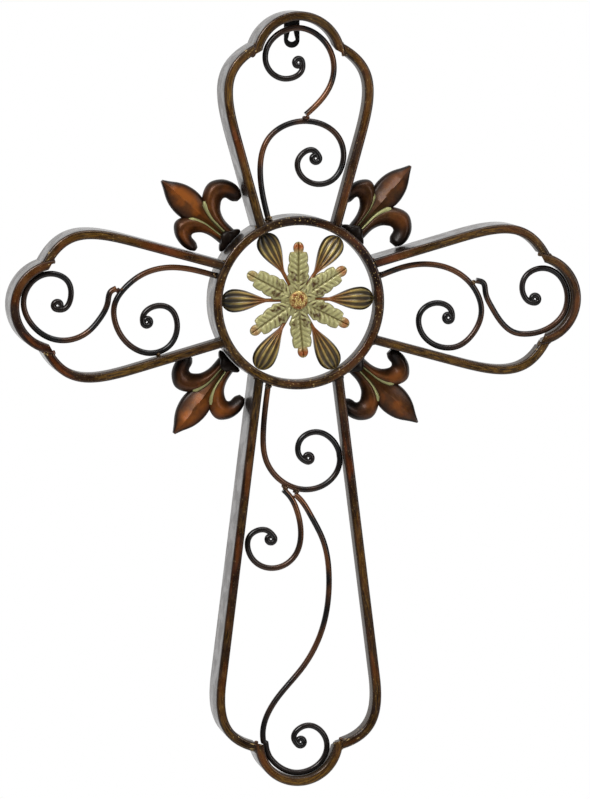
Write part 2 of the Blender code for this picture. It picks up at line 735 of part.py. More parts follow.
def build_flower(centre):
    """Three pieces one before the other, each a gap in front of the one behind."""
    petals = new_material("olive_petals", PETAL_OLIVE, 0.4, 0.8)
    leaves = new_material("pale_green_leaves", LEAF_GREEN, 0.45, 0.8)
    gold = new_material("gold_button", BUTTON_GOLD, 0.35, 0.9)
    hub = [(HUB_RADIUS, GAP / 2), (HUB_RADIUS, HUB_THICKNESS)]
    y = FRONT + FLOWER_SETBACK
    meshes = [petal_mesh(math.radians(angle)) for angle in PETAL_ANGLES]
    mesh = fused("petal_rosette", [disc_mesh(hub, HUB_SIDES), *meshes])
    place("petal_rosette", mesh, petals, centre, (0, y, FLOWER_RAISE))
    y -= STEM_THICKNESS + GAP
    meshes = [leaf_mesh(math.radians(angle)) for angle in LEAF_ANGLES]
    mesh = fused("leaf_rosette", [disc_mesh(hub, HUB_SIDES), *meshes])
    place("leaf_rosette", mesh, leaves, centre, (0, y, FLOWER_RAISE))
    y -= LEAF_THICKNESS + GAP
    place("centre_button", button_mesh(), gold, centre, (0, y, FLOWER_RAISE))


def build_fleurs(centre):
    copper = new_material("copper_fleur", FLEUR_COPPER, 0.35, 0.85)
    foot = Matrix.Translation((0, 0, RING_RADIUS))
    for name, (base, lean) in FLEURS.items():
        petals = [lance_mesh()]
        petals += [curl_mesh(side, spread_to_bar(base, lean, side)) for side in (1, -1)]
        for mesh in petals:
            mesh.transform(foot @ Matrix.Rotation(-math.radians(lean), 4, "Y") @ foot.inverted())
        mesh = fused(name, [collar_mesh(), *petals])
        place(name, mesh, copper, centre, (0, -FLEUR_OFF_WALL, 0), base - UPRIGHT)


def build():
    for thing in list(bpy.data.objects):
        bpy.data.objects.remove(thing)
    frame = new_material("patinated_frame", FRAME_BROWN, 0.35, 0.8)
    centre = empty("ring_centre", location=RING_CENTRE)
    place("ring", ring_mesh(), frame, centre)
    for arm_name, direction, arm, sides in ARMS:
        root = empty(arm_name, centre, turn=direction)
        for side, word in zip((1, -1), sides):
            name = f"{arm_name}_{word}_bar"
            place(name, bar_mesh(name, arm, side), frame, root)
        place(f"{arm_name}_bow", bow_mesh(f"{arm_name}_bow", arm), frame, root)
    rods = new_material("gunmetal_rod", SCROLL_GREY, 0.35, 0.8)
    for name, line in scroll_lines().items():
        arm_root = bpy.data.objects[SCROLLS[name][0]]
        place(name, rod_mesh(name, line), rods, arm_root)
    build_flower(centre)
    build_fleurs(centre)
    place("hanger_plate", plate_mesh(), new_material("black_plate", PLATE_BLACK, 0.5, 0.6), None)


build()
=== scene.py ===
"""Wall cross: the lacquered finish, smooth rods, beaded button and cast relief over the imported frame."""

import math

import bpy
import numpy as np
from mathutils import Matrix, Vector


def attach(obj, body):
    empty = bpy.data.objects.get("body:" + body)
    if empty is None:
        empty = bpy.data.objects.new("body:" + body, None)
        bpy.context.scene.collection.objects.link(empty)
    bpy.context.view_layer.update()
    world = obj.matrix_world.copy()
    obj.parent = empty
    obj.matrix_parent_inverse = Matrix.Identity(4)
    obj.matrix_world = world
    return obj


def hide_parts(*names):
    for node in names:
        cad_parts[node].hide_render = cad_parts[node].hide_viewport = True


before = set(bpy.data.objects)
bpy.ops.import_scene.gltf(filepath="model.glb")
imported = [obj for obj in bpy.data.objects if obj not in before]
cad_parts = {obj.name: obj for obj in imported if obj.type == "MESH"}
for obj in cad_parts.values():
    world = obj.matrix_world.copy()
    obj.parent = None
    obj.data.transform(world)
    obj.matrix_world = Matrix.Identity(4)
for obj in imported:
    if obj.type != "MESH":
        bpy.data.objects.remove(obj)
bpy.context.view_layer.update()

MM = 0.001
GAP = 0.3 * MM

# Sizes of the real parts, as in the solids
SHEET = 1.2 * MM
FRAME_DEPTH = 41 * MM
FACE_WIDTH = 9 * MM
LIP_DEPTH = 16 * MM
CORNER_RADIUS = 2.2 * MM
RING_RADIUS = 84.8 * MM
NAIL_BELOW_TIP = 20.6 * MM
ROD = 5.8 * MM
ROD_SETBACK = 9 * MM
FRONT = -FRAME_DEPTH
ROD_Y = FRONT + ROD_SETBACK
HOOK_RADIUS = 3.7 * MM  # rod's centre line where each scroll turns into its eye
EYE_RADIUS = 1.3 * MM  # the same at the middle of the eye
EYE_TURN = math.radians(400)
EYE_STEPS = 48
ROD_SIDES = 20


def boundary(low, high, is_low, steps=30):
    """The two closest numbers found by halving between which is_low stops being true."""
    for _ in range(steps):
        middle = (low + high) / 2
        if is_low(middle):
            low = middle
        else:
            high = middle
    return low, high


def ramp(value, none, full):
    """0 at one value and beyond it, 1 at another and beyond it, and even in between."""
    return np.clip((value - none) / (full - none), 0, 1)


class Arm:
    """One arm, in its own coordinates: distance out from the ring's centre and offset to the side."""

    def __init__(self, reach, bow_radius, root_half, splay, shoulder, fullness, cusp_angle, lean):
        self.reach = reach
        self.bow_radius = bow_radius
        self.bow_centre = reach - bow_radius
        self.cusp_angle = cusp_angle
        root = math.sqrt((RING_RADIUS + GAP) ** 2 - root_half ** 2)
        straight = reach - shoulder - root
        bend = Vector((root + straight, root_half + straight * math.tan(splay)))
        cusp = self.on_bow(cusp_angle, 0)
        handle = fullness * (cusp - bend).length
        self.root = Vector((root, root_half))
        self.bezier = (
            bend,
            bend + handle * Vector((math.cos(splay), math.sin(splay))),
            cusp + handle * Vector((-math.cos(lean), math.sin(lean))),
            cusp,
        )

    def on_bow(self, angle, inset):
        radius = self.bow_radius - inset
        return Vector((self.bow_centre + radius * math.cos(angle), radius * math.sin(angle)))

    def shoulder(self, t, inset):
        """Point of the bar's curved stretch, from the straight bar at 0 to the cusp at 1."""
        p0, p1, p2, p3 = self.bezier
        s = 1 - t
        point = s ** 3 * p0 + 3 * s * s * t * p1 + 3 * s * t * t * p2 + t ** 3 * p3
        along = (s * s * (p1 - p0) + 2 * s * t * (p2 - p1) + t * t * (p3 - p2)).normalized()
        return point + inset * Vector((along.y, -along.x)), along

    def bar_half(self, distance, inset):
        """Half width between the bars at a distance from the ring's centre."""
        start, along = self.shoulder(0, inset)
        if distance <= start.x:
            return start.y - (start.x - distance) * along.y / along.x
        low, _ = boundary(0.0, 1.0, lambda share: self.shoulder(share, inset)[0].x < distance)
        return self.shoulder(low, inset)[0].y

    def rod_point(self, far, side):
        """Place on a rod's centre line, from its share of the way from the ring's edge to the arm's end and
        its share of the free half width there, or past the bow's centre of the bow's free radius.
        """
        inset = FACE_WIDTH + ROD / 2 + GAP
        distance = RING_RADIUS + far * (self.reach - RING_RADIUS)
        if distance <= self.bow_centre:
            return Vector((distance, side * self.bar_half(distance, inset)))
        return self.kept_inside(Vector((distance, side * (self.bow_radius - inset))))

    def kept_inside(self, point):
        """Place on a rod's centre line, brought in to lie along the bar or the bow where it is outside."""
        inset = FACE_WIDTH + ROD / 2 + GAP
        free = self.bow_radius - inset
        half = self.bar_half(point.x, inset)
        clear_of_bow = math.hypot(point.x - self.bow_centre, half) > free
        if point.x <= self.bow_centre or clear_of_bow and point.x < self.shoulder(1, inset)[0].x:
            return Vector((point.x, max(-half, min(half, point.y))))
        centre = Vector((self.bow_centre, 0))
        from_centre = point - centre
        if from_centre.length > free:
            from_centre.length = free
        return centre + from_centre


SHORT_ARM = Arm(
    reach=283.2 * MM, bow_radius=46 * MM, root_half=41.8 * MM, splay=math.radians(15.6),
    shoulder=124.8 * MM, fullness=0.46, cusp_angle=math.radians(71.2), lean=math.radians(61.5))
LOWER_ARM = Arm(
    reach=477.8 * MM, bow_radius=44.2 * MM, root_half=44 * MM, splay=math.radians(7.15),
    shoulder=107 * MM, fullness=0.46, cusp_angle=math.radians(78.5), lean=math.radians(75))
RING_CENTRE = Vector((0, 0, NAIL_BELOW_TIP - SHORT_ARM.reach))

ARMS = {
    "upper_arm": (90, SHORT_ARM, ("left", "right")),
    "left_arm": (180, SHORT_ARM, ("lower", "upper")),
    "lower_arm": (270, LOWER_ARM, ("right", "left")),
    "right_arm": (0, SHORT_ARM, ("upper", "lower")),
}

# Each scroll: its arm, what it starts beside (another scroll and a share of that scroll's length before its
# hook, or else the ring) and the points it passes through, as a share of the way from the ring's edge to the
# arm's end and a share of the free half width there, where 1 touches the bar or the bow
SCROLLS = {
    "upper_arm_inner_scroll": (
        "upper_arm", None,
        ((0.018, 0.92), (0.197, 0.86), (0.378, 0.55), (0.463, -0.1), (0.393, -0.72), (0.293, -0.94),
         (0.171, -0.81), (0.154, -0.45), (0.199, -0.07), (0.274, -0.01), (0.322, -0.27),
         (0.288, -0.44)),
    ),
    "upper_arm_outer_scroll": (
        "upper_arm", ("upper_arm_inner_scroll", 0.422),
        ((0.572, -0.39), (0.661, -0.56), (0.743, -0.7), (0.84, -0.83), (0.918, -0.05), (0.895, 0.51),
         (0.821, 0.9), (0.737, 0.59), (0.671, 0.23), (0.706, -0.06), (0.754, -0.09)),
    ),
    "left_arm_inner_scroll": (
        "left_arm", None,
        ((0.029, -0.87), (0.214, -0.82), (0.333, -0.61), (0.424, -0.33), (0.483, -0.01),
         (0.475, 0.34), (0.409, 0.71), (0.313, 0.95), (0.219, 0.93), (0.174, 0.55), (0.207, 0.1),
         (0.269, 0.02), (0.339, 0.18), (0.343, 0.34)),
    ),
    "left_arm_outer_scroll": (
        "left_arm", ("left_arm_inner_scroll", 0.356),
        ((0.501, -0.23), (0.516, -0.06), (0.557, 0.21), (0.612, 0.4), (0.697, 0.56), (0.788, 0.93),
         (0.885, 0.54), (0.93, -0.14), (0.889, -0.73), (0.798, -0.94), (0.716, -0.45),
         (0.697, -0.19), (0.728, 0.04), (0.769, 0.08)),
    ),
    "right_arm_inner_scroll": (
        "right_arm", None,
        ((0.019, 0.82), (0.124, 0.87), (0.259, 0.75), (0.397, 0.45), (0.475, 0.12), (0.5, -0.2),
         (0.463, -0.56), (0.376, -0.87), (0.274, -0.95), (0.192, -0.7), (0.189, -0.3),
         (0.275, -0.06), (0.341, -0.17), (0.351, -0.35)),
    ),
    "right_arm_outer_scroll": (
        "right_arm", ("right_arm_inner_scroll", 0.350),
        ((0.509, 0.27), (0.52, 0.12), (0.549, -0.11), (0.613, -0.41), (0.662, -0.54),
         (0.731, -0.66), (0.84, -0.88), (0.925, -0.39), (0.943, 0.06), (0.904, 0.66), (0.811, 0.88),
         (0.722, 0.39), (0.709, 0.13), (0.74, -0.05), (0.772, -0.13)),
    ),
    "lower_arm_ring_scroll": (
        "lower_arm", None,
        ((0.009, -0.9), (0.109, -0.89), (0.175, -0.76), (0.222, -0.45), (0.253, 0.17), (0.241, 0.6),
         (0.203, 0.93), (0.151, 0.98), (0.109, 0.48), (0.129, 0.06), (0.163, 0.02), (0.183, 0.21)),
    ),
    "lower_arm_side_scroll": (
        "lower_arm", ("lower_arm_ring_scroll", 0.403),
        ((0.269, -0.17), (0.308, -0.01), (0.362, 0.06), (0.416, -0.04), (0.446, -0.32),
         (0.441, -0.68), (0.402, -0.93), (0.366, -0.93), (0.351, -0.69), (0.37, -0.46)),
    ),
    "lower_arm_long_scroll": (
        "lower_arm", ("lower_arm_ring_scroll", 0.443),
        ((0.273, 0.02), (0.322, 0.28), (0.379, 0.48), (0.482, 0.55), (0.614, 0.37), (0.7, 0.08),
         (0.787, -0.33), (0.859, -0.6), (0.928, -0.91), (0.97, -0.02), (0.934, 0.81), (0.885, 0.7),
         (0.85, 0.14), (0.874, -0.08), (0.898, 0)),
    ),
}


# Node wiring
class Wiring:
    """Short ways to add nodes to one tree."""

    def __init__(self, tree):
        self.tree = tree

    def add(self, kind, **values):
        """New node. Each value is for a setting of the node or for the input of that name."""
        node = self.tree.nodes.new(kind)
        for key, value in values.items():
            if hasattr(node, key):
                setattr(node, key, value)
            else:
                self.feed(node.inputs[key.replace("_", " ")], value)
        return node

    def feed(self, socket, value):
        if isinstance(value, bpy.types.NodeSocket):
            self.tree.links.new(value, socket)
        elif isinstance(value, tuple) and socket.type == "RGBA":
            socket.default_value = (*value, 1)
        else:
            socket.default_value = value

    def math(self, operation, one, two):
        node = self.add("ShaderNodeMath", operation=operation)
        self.feed(node.inputs[0], one)
        self.feed(node.inputs[1], two)
        return node.outputs[0]

    def times(self, one, two):
        return self.math("MULTIPLY", one, two)

    def mix(self, share, one, two):
        node = self.add("ShaderNodeMix", data_type="RGBA", Factor=share)
        self.feed(node.inputs[6], one)
        self.feed(node.inputs[7], two)
        return node.outputs[2]

    def between(self, value, low, high, start=0.0, end=1.0):
        """Smooth step from start to end as the value goes from low to high."""
        return self.add("ShaderNodeMapRange", interpolation_type="SMOOTHSTEP", Value=value, From_Min=low,
                        From_Max=high, To_Min=start, To_Max=end).outputs["Result"]

    def noise(self, place, scale, detail, rough):
        return self.add("ShaderNodeTexNoise", Vector=place, Scale=scale, Detail=detail,
                        Roughness=rough).outputs["Fac"]

    def look(self, name):
        return self.add("ShaderNodeAttribute", attribute_name=name).outputs["Fac"]

    def place(self):
        return self.add("ShaderNodeTexCoord").outputs["Object"]

    def group(self, tree, **values):
        return self.add("ShaderNodeGroup", node_tree=tree, **values).outputs

    def painted(self, geometry, material):
        real = self.add("GeometryNodeRealizeInstances", Geometry=geometry)
        return self.add("GeometryNodeSetMaterial", Geometry=real.outputs[0], Material=material).outputs[0]


def new_group(name, family, inputs, outputs):
    """Node group with sockets of given names and kinds: its tree, its wiring, its inputs and its outputs."""
    tree = bpy.data.node_groups.new(name, f"{family}NodeTree")
    for in_out, sockets in (("INPUT", inputs), ("OUTPUT", outputs)):
        for title, kind in sockets.items():
            tree.interface.new_socket(title, in_out=in_out, socket_type=f"NodeSocket{kind}")
    given, out = tree.nodes.new("NodeGroupInput"), tree.nodes.new("NodeGroupOutput")
    return tree, Wiring(tree), given.outputs, out.inputs


def streak_group():
    """Rubbed patches drawn out along a bar or a rod, and fine bright flecks."""
    tree, w, given, out = new_group(
        "rubbed streaks", "Shader", dict.fromkeys(("Along", "Around", "Length", "Width"), "Float"),
        dict.fromkeys(("Patch", "Streak", "Fleck"), "Float"))
    # changes along and around per metre, the noise's detail and roughness, what counts as none and as full
    for name, along, around, detail, rough, low, high in (
            ("Patch", None, None, 2.0, 0.5, 0.40, 0.60),
            ("Streak", 90.0, 700.0, 3.0, 0.6, 0.35, 0.7),
            ("Fleck", 380.0, 600.0, 2.0, 0.5, 0.62, 0.72)):
        if along:
            spot = w.times(given["Along"], along), w.times(given["Around"], around)
        else:
            spot = [w.math("DIVIDE", given[one], given[two])
                    for one, two in (("Along", "Length"), ("Around", "Width"))]
        place = w.add("ShaderNodeCombineXYZ", X=spot[0], Y=spot[1]).outputs[0]
        w.feed(out[name], w.between(w.noise(place, 1.0, detail, rough), low, high))
    return tree


def casting_group():
    """Uneven surface of lacquered metal: broad mottling and a fine grain."""
    tree, w, given, out = new_group(
        "mottled casting", "Shader", {"Place": "Vector", "Size": "Float"},
        dict.fromkeys(("Mottle", "Grain", "Height"), "Float"))
    scale = w.math("DIVIDE", 1.0, given["Size"])
    mottle = w.noise(given["Place"], scale, 3.0, 0.6)
    grain = w.noise(given["Place"], w.times(scale, 9.0), 3.0, 0.65)
    w.feed(out["Mottle"], w.between(mottle, 0.35, 0.65))
    w.feed(out["Grain"], w.between(grain, 0.3, 0.7))
    w.feed(out["Height"], w.math("ADD", w.times(mottle, 0.7), w.times(grain, 0.3)))
    return tree


STREAKS = streak_group()
CASTING = casting_group()


class Finish(Wiring):
    """One material of lacquered metal. Grain is the size of its mottling."""

    def __init__(self, name, metallic, coat, grain):
        self.material = bpy.data.materials.new(name)
        self.material.use_nodes = True
        super().__init__(self.material.node_tree)
        self.shader = self.tree.nodes["Principled BSDF"].inputs
        self.shader["Metallic"].default_value = metallic
        self.shader["Coat Weight"].default_value = coat
        self.shader["Coat Roughness"].default_value = 0.12
        self.cast = self.group(CASTING, Place=self.place(), Size=grain)

    def done(self, colour, rough, strength, distance):
        """The material, with its colour and roughness and with the strength and depth of its bumps."""
        bump = self.add("ShaderNodeBump", Strength=strength, Distance=distance, Height=self.cast["Height"])
        self.feed(self.shader["Base Color"], colour)
        self.feed(self.shader["Roughness"], rough)
        self.feed(self.shader["Normal"], bump.outputs["Normal"])
        return self.material


# Colours of the finish, as linear values
NEAR_BLACK = (0.006, 0.004, 0.003)
DARK_BROWN = (0.022, 0.009, 0.005)
OLIVE_BROWN = (0.060, 0.032, 0.008)
COPPER_BROWN = (0.20, 0.048, 0.008)
GOLDEN_OLIVE = (0.34, 0.17, 0.022)
GOLD_FLECK = (0.75, 0.52, 0.20)
GUNMETAL = (0.012, 0.011, 0.011)
RUBBED_COPPER = (0.20, 0.075, 0.024)
FLEUR_COPPER = (0.36, 0.095, 0.009)
PALE_LINE = (0.45, 0.45, 0.20)
LEAF_PALE = (0.60, 0.60, 0.27)
LEAF_OLIVE = (0.085, 0.040, 0.006)
LEAF_RUST = (0.42, 0.12, 0.025)
PETAL_PALE = (0.66, 0.50, 0.14)
PETAL_BRONZE = (0.27, 0.075, 0.012)
BUTTON_GOLD = (0.85, 0.66, 0.24)
PLATE_BLACK = (0.006, 0.006, 0.006)
PLATE_GREY = (0.02, 0.018, 0.016)


def frame_material():
    w = Finish("lacquered frame", metallic=0.45, coat=0.42, grain=20 * MM)
    along, around, face = w.look("along"), w.look("around"), w.look("face")
    streaks = w.group(STREAKS, Along=along, Around=around, Length=55 * MM, Width=12 * MM)
    on_face = w.between(face, 0.1, 0.9)
    # the lip and the inside of the folded sheet are duller and browner than the outer web
    fold = FRAME_DEPTH + FACE_WIDTH
    inside = w.between(around, fold - 2 * MM, fold)
    clouds = w.between(w.noise(w.place(), 9.0, 3.0, 0.55), 0.36, 0.64)
    warm = w.times(w.between(streaks["Patch"], 0, 1, 0.05, 1.0), on_face)
    colour = w.mix(warm, DARK_BROWN, w.mix(clouds, COPPER_BROWN, OLIVE_BROWN))
    golden = w.times(w.times(w.times(streaks["Streak"], on_face), w.look("gold")), clouds)
    colour = w.mix(golden, colour, GOLDEN_OLIVE)
    colour = w.mix(w.times(inside, 0.6), colour, OLIVE_BROWN)
    colour = w.mix(w.look("dark"), colour, NEAR_BLACK)
    colour = w.mix(w.times(streaks["Fleck"], w.look("fleck")), colour, GOLD_FLECK)
    rough = w.math("ADD", w.between(w.cast["Mottle"], 0, 1, 0.26, 0.46), w.between(face, 0.0, 0.3, 0.06, 0.0))
    rough = w.math("ADD", rough, w.times(inside, 0.4))
    return w.done(colour, rough, 0.4, 0.6 * MM)


def rod_material():
    w = Finish("gunmetal rod", metallic=0.5, coat=0.3, grain=15 * MM)
    streaks = w.group(STREAKS, Along=w.look("along"), Around=w.look("around"), Length=45 * MM, Width=2.0)
    colour = w.mix(w.times(streaks["Patch"], w.look("rubbed")), GUNMETAL, RUBBED_COPPER)
    return w.done(colour, w.between(w.cast["Mottle"], 0, 1, 0.24, 0.36), 0.25, 0.5 * MM)


def fleur_material():
    w = Finish("copper fleur", metallic=0.4, coat=0.1, grain=30 * MM)
    w.shader["Specular IOR Level"].default_value = 0.35
    warm = w.times(w.look("warm"), w.between(w.cast["Mottle"], 0, 1, 0.25, 1.0))
    colour = w.mix(warm, DARK_BROWN, FLEUR_COPPER)
    colour = w.mix(w.times(w.cast["Grain"], 0.12), colour, GOLDEN_OLIVE)
    colour = w.mix(w.look("dark"), colour, NEAR_BLACK)
    colour = w.mix(w.look("pale"), colour, PALE_LINE)
    return w.done(colour, w.between(w.cast["Mottle"], 0, 1, 0.38, 0.52), 0.3, 0.8 * MM)


def petal_material():
    w = Finish("olive petals", metallic=0.35, coat=0.4, grain=8 * MM)
    colour = w.mix(w.look("neck"), PETAL_PALE, PETAL_BRONZE)
    colour = w.mix(w.times(w.cast["Mottle"], 0.45), colour, PETAL_BRONZE)
    colour = w.mix(w.look("valley"), colour, DARK_BROWN)
    colour = w.mix(w.look("dark"), colour, NEAR_BLACK)
    return w.done(colour, w.between(w.cast["Mottle"], 0, 1, 0.3, 0.45), 0.3, 0.4 * MM)


def leaf_material():
    w = Finish("pale green leaves", metallic=0.25, coat=0.35, grain=6 * MM)
    spots = w.times(w.look("spot"), w.between(w.cast["Mottle"], 0.1, 0.9, 0.45, 1.0))
    colour = w.mix(w.times(w.cast["Grain"], 0.35), LEAF_PALE, GOLDEN_OLIVE)
    colour = w.mix(spots, colour, LEAF_OLIVE)
    colour = w.mix(w.look("rust"), colour, LEAF_RUST)
    colour = w.mix(w.look("dark"), colour, LEAF_OLIVE)
    return w.done(colour, w.between(w.cast["Mottle"], 0, 1, 0.32, 0.5), 0.4, 0.4 * MM)


def button_material():
    w = Finish("gold button", metallic=0.5, coat=0.3, grain=4 * MM)
    colour = w.mix(w.cast["Mottle"], BUTTON_GOLD, PETAL_BRONZE)
    return w.done(colour, w.between(w.cast["Grain"], 0, 1, 0.3, 0.45), 0.3, 0.3 * MM)


def plate_material():
    w = Finish("black plate", metallic=0.4, coat=0.2, grain=8 * MM)
    colour = w.mix(w.cast["Mottle"], PLATE_BLACK, PLATE_GREY)
    return w.done(colour, w.between(w.cast["Grain"], 0, 1, 0.42, 0.6), 0.25, 0.4 * MM)


FRAME = frame_material()
RODS = rod_material()


# Shapes
class Shape:
    """Closed skins gathered into one piece, with looks kept on every point."""

    def __init__(self, *looks):
        self.points = []
        self.faces = []
        self.looks = {name: [] for name in looks}

    def skin(self, rows, looped=False, caps=None, **looks):
        """Skin over a row of equal closed sections, its ends closed by caps that index one section.
        A look is one value, or a value for each point.
        """
        rows = np.array(rows, float)
        n, m, _ = rows.shape
        flat = rows.reshape(-1, 3)
        faces = []
        for i in range(n if looped else n - 1):
            j = (i + 1) % n
            faces += [(i * m + k, i * m + (k + 1) % m, j * m + (k + 1) % m, j * m + k) for k in range(m)]
        for cap in () if looped else caps or (range(m),):
            faces.append(tuple(cap)[::-1])
            faces.append(tuple((n - 1) * m + k for k in cap))
        volume = 0.0
        for face in faces:
            a = flat[face[0]]
            for b, c in zip(face[1:], face[2:]):
                volume += a.dot(np.cross(flat[b], flat[c]))
        if volume < 0:
            faces = [face[::-1] for face in faces]
        first = len(self.points)
        self.points += [tuple(p) for p in flat]
        self.faces += [tuple(first + k for k in face) for face in faces]
        for name, values in self.looks.items():
            given = np.array(looks.get(name, 0.0), float)
            values += list(np.broadcast_to(given, (n, m)).reshape(-1))

    def turned(self, matrix):
        self.points = [tuple(matrix @ Vector(p)) for p in self.points]
        return self

    def piece(self, name, material, slot, *nodes, sharp=50):
        mesh = bpy.data.meshes.new(name)
        mesh.from_pydata(self.points, [], self.faces)
        mesh.shade_smooth()
        mesh.set_sharp_from_angle(angle=math.radians(sharp))
        for look, values in self.looks.items():
            mesh.attributes.new(look, "FLOAT", "POINT").data.foreach_set("value", values)
        mesh.materials.append(material)
        finish_piece(name, mesh, slot, *nodes)


def put(name, data):
    thing = bpy.data.objects.new(name, data)
    bpy.context.scene.collection.objects.link(thing)
    return thing


def finish_piece(name, mesh, slot, *nodes):
    thing = put(name, mesh)
    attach(thing, "root")
    if nodes:
        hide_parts(*nodes)


def turn_about_front(degrees):
    """Matrix from an arm's or a fleur's coordinates to the cross's. Degrees turn as seen from the front."""
    return Matrix.Translation(RING_CENTRE) @ Matrix.Rotation(-math.radians(degrees), 4, "Y")


def folded_section():
    """Outline of the folded sheet as inset and depth, with how much each point is on the front face."""
    r, t, d, w = CORNER_RADIUS, SHEET, FRAME_DEPTH, FACE_WIDTH
    outline = [(0, depth * d, 0) for depth in (0, 0.25, 0.5, 0.7, 0.85)]
    bend = [(math.cos(math.pi / 2 * k / 5), math.sin(math.pi / 2 * k / 5), 0.6 * k / 5) for k in range(6)]
    outline += [(r - r * c, d - r + r * s, on_face) for c, s, on_face in bend]
    outline += [(r + (w - 2 * r) * k / 6, d, 0.85 if k in (1, 5) else 1) for k in range(1, 6)]
    outline += [(w - r + r * s, d - r + r * c, 0.6 - on_face) for c, s, on_face in bend]
    outline += [(w, d - LIP_DEPTH, 0), (w - t, d - LIP_DEPTH, 0), (w - t, d - t, 0), (t, d - t, 0), (t, 0, 0)]
    return outline


RING_STEPS = 160
STRAIGHT_STEPS = 12
SHOULDER_STEPS = 36
BOW_STEPS = 61
LIP_CUT = 6 * MM  # how far a bow's lip slopes back at its end
SECTION = folded_section()
# The sheet's cut end as five faces: outer web, bend, face, bend and lip
SECTION_CAPS = ((*range(6), 25, 26), (*range(5, 11), 25), (*range(10, 17), 24, 25), (*range(16, 22), 24),
                (21, 22, 23, 24))
SECTION_AROUND = [0.0]
for (inset_a, depth_a, _), (inset_b, depth_b, _) in zip(SECTION, SECTION[1:]):
    SECTION_AROUND.append(SECTION_AROUND[-1] + math.hypot(inset_b - inset_a, depth_b - depth_a))


def frame_piece(name, rows, turn, looped=False, **looks):
    """Piece of folded sheet. Each look is one value, or a value for each row."""
    looks = {look: np.broadcast_to(values, len(rows))[:, None] for look, values in looks.items()}
    shape = Shape("around", "face", *looks)
    shape.skin(rows, looped, SECTION_CAPS, around=np.array(SECTION_AROUND)[None],
               face=np.array([on_face for _, _, on_face in SECTION])[None], **looks)
    shape.turned(turn_about_front(turn)).piece(f"{name}_finish", FRAME, "patinated_frame", name)


def slide_to_circle(point, along, centre, radius, nearest):
    offset = point - centre
    b = offset.dot(along)
    root = math.sqrt(max(b * b - offset.length_squared + radius ** 2, 0))
    return point + along * (-b - root if nearest else -b + root)


def make_ring():
    angles = np.arange(RING_STEPS) * math.tau / RING_STEPS
    rows = [[((RING_RADIUS - inset) * math.cos(angle), -depth, (RING_RADIUS - inset) * math.sin(angle))
             for inset, depth, _ in SECTION] for angle in angles]
    # the ring is warmest at its lower left
    warm = 0.5 - 0.5 * np.cos(angles - math.radians(35))
    frame_piece("ring", rows, 0, looped=True, along=angles * RING_RADIUS, gold=0.25 + 0.5 * warm,
                dark=0.42 * (1 - warm), fleck=0.8)


def shoulder_end(arm, inset):
    """Share of the bar's curved stretch at which it meets the bow's outer side."""
    centre = Vector((arm.bow_centre, 0))
    return boundary(0.5, 1.0, lambda t: (arm.shoulder(t, inset)[0] - centre).length > arm.bow_radius)[1]


def make_bar(name, arm, side, turn, start):
    ends = [shoulder_end(arm, inset) for inset, _, _ in SECTION]
    rows = []
    for k in range(-STRAIGHT_STEPS, SHOULDER_STEPS + 1):
        row = []
        for end, (inset, depth, _) in zip(ends, SECTION):
            point, along = arm.shoulder(end * max(k, 0) / SHOULDER_STEPS, inset)
            if k < 0:
                root = slide_to_circle(point, along, Vector((0, 0)), RING_RADIUS - GAP, False)
                point = root.lerp(point, 1 + k / STRAIGHT_STEPS)
            row.append((point.x, -depth, side * point.y))
        rows.append(row)
    out = np.array([row[0][0] for row in rows])
    shares = (out - out[0]) / (out[-1] - out[0])
    # painted shade: the bar is painted darker towards the ring and towards the cusp, where it meets the ring
    # and the bow
    shade_by_ring, near_cusp = ramp(shares, 0.12, 0), ramp(shares, 0.94, 1)
    frame_piece(name, rows, turn, along=start + out, gold=0.75, dark=0.75 * shade_by_ring + 0.35 * near_cusp,
                fleck=0.25 + 0.75 * near_cusp)


def bow_end(arm, inset):
    """Angle from the arm's axis at which the bow is cut off, in line with the bar's inner edge."""
    edge, along = arm.shoulder(1, FACE_WIDTH)
    centre = Vector((arm.bow_centre, 0))
    end = slide_to_circle(edge, along, centre, arm.bow_radius - inset, True) - centre
    return math.atan2(end.y, end.x)


def make_bow(name, arm, turn, start):
    ends = []
    for inset, depth, _ in SECTION:
        end = bow_end(arm, inset)
        if inset <= SHEET:
            # the outer web is cut aslant, from the cusp at its back to the end of the face
            end = arm.cusp_angle + (end - arm.cusp_angle) * min(1, depth / (FRAME_DEPTH - SHEET))
        elif depth == FRAME_DEPTH - LIP_DEPTH:
            end -= LIP_CUT / arm.bow_radius
        ends.append(end)
    shares = np.linspace(-1, 1, BOW_STEPS)
    rows = []
    for share in shares:
        points = [arm.on_bow(share * end, inset) for end, (inset, _, _) in zip(ends, SECTION)]
        rows.append([(point.x, -depth, point.y) for point, (_, depth, _) in zip(points, SECTION)])
    near_end = ramp(np.abs(shares), 0.8, 1)
    # the bow at the cross's foot is the most golden
    gold = 1.0 if arm is LOWER_ARM else 0.45
    # painted shade: the bow's ends, in the corners where it meets the bars, are painted darker
    frame_piece(name, rows, turn, along=start + shares * ends[0] * arm.bow_radius, gold=gold,
                dark=0.3 * near_end, fleck=0.2 + 0.8 * near_end)


# Rods
def smooth_line(points, steps=20):
    """Dense points of the line that a springy rod takes through a few points."""
    p = np.array([tuple(point) for point in points])
    spans = np.linalg.norm(np.diff(p, axis=0), axis=1)
    slopes = np.diff(p, axis=0) / spans[:, None]
    count = len(p)
    ties, pull = np.zeros((count, count)), np.zeros((count, 2))
    for k in range(1, count - 1):
        ties[k, k - 1:k + 2] = spans[k - 1], 2 * (spans[k - 1] + spans[k]), spans[k]
        pull[k] = 6 * (slopes[k] - slopes[k - 1])
    ties[0, 0] = 1  # straight at its start
    ties[-1, -2:] = -1, 1  # still bending at its end
    bends = np.linalg.solve(ties, pull)
    dense = []
    for k, span in enumerate(spans):
        for step in range(steps):
            b = step / steps
            a = 1 - b
            spot = a * p[k] + b * p[k + 1]
            spot = spot + ((a ** 3 - a) * bends[k] + (b ** 3 - b) * bends[k + 1]) * span ** 2 / 6
            dense.append(Vector(spot))
    return dense + [points[-1]]


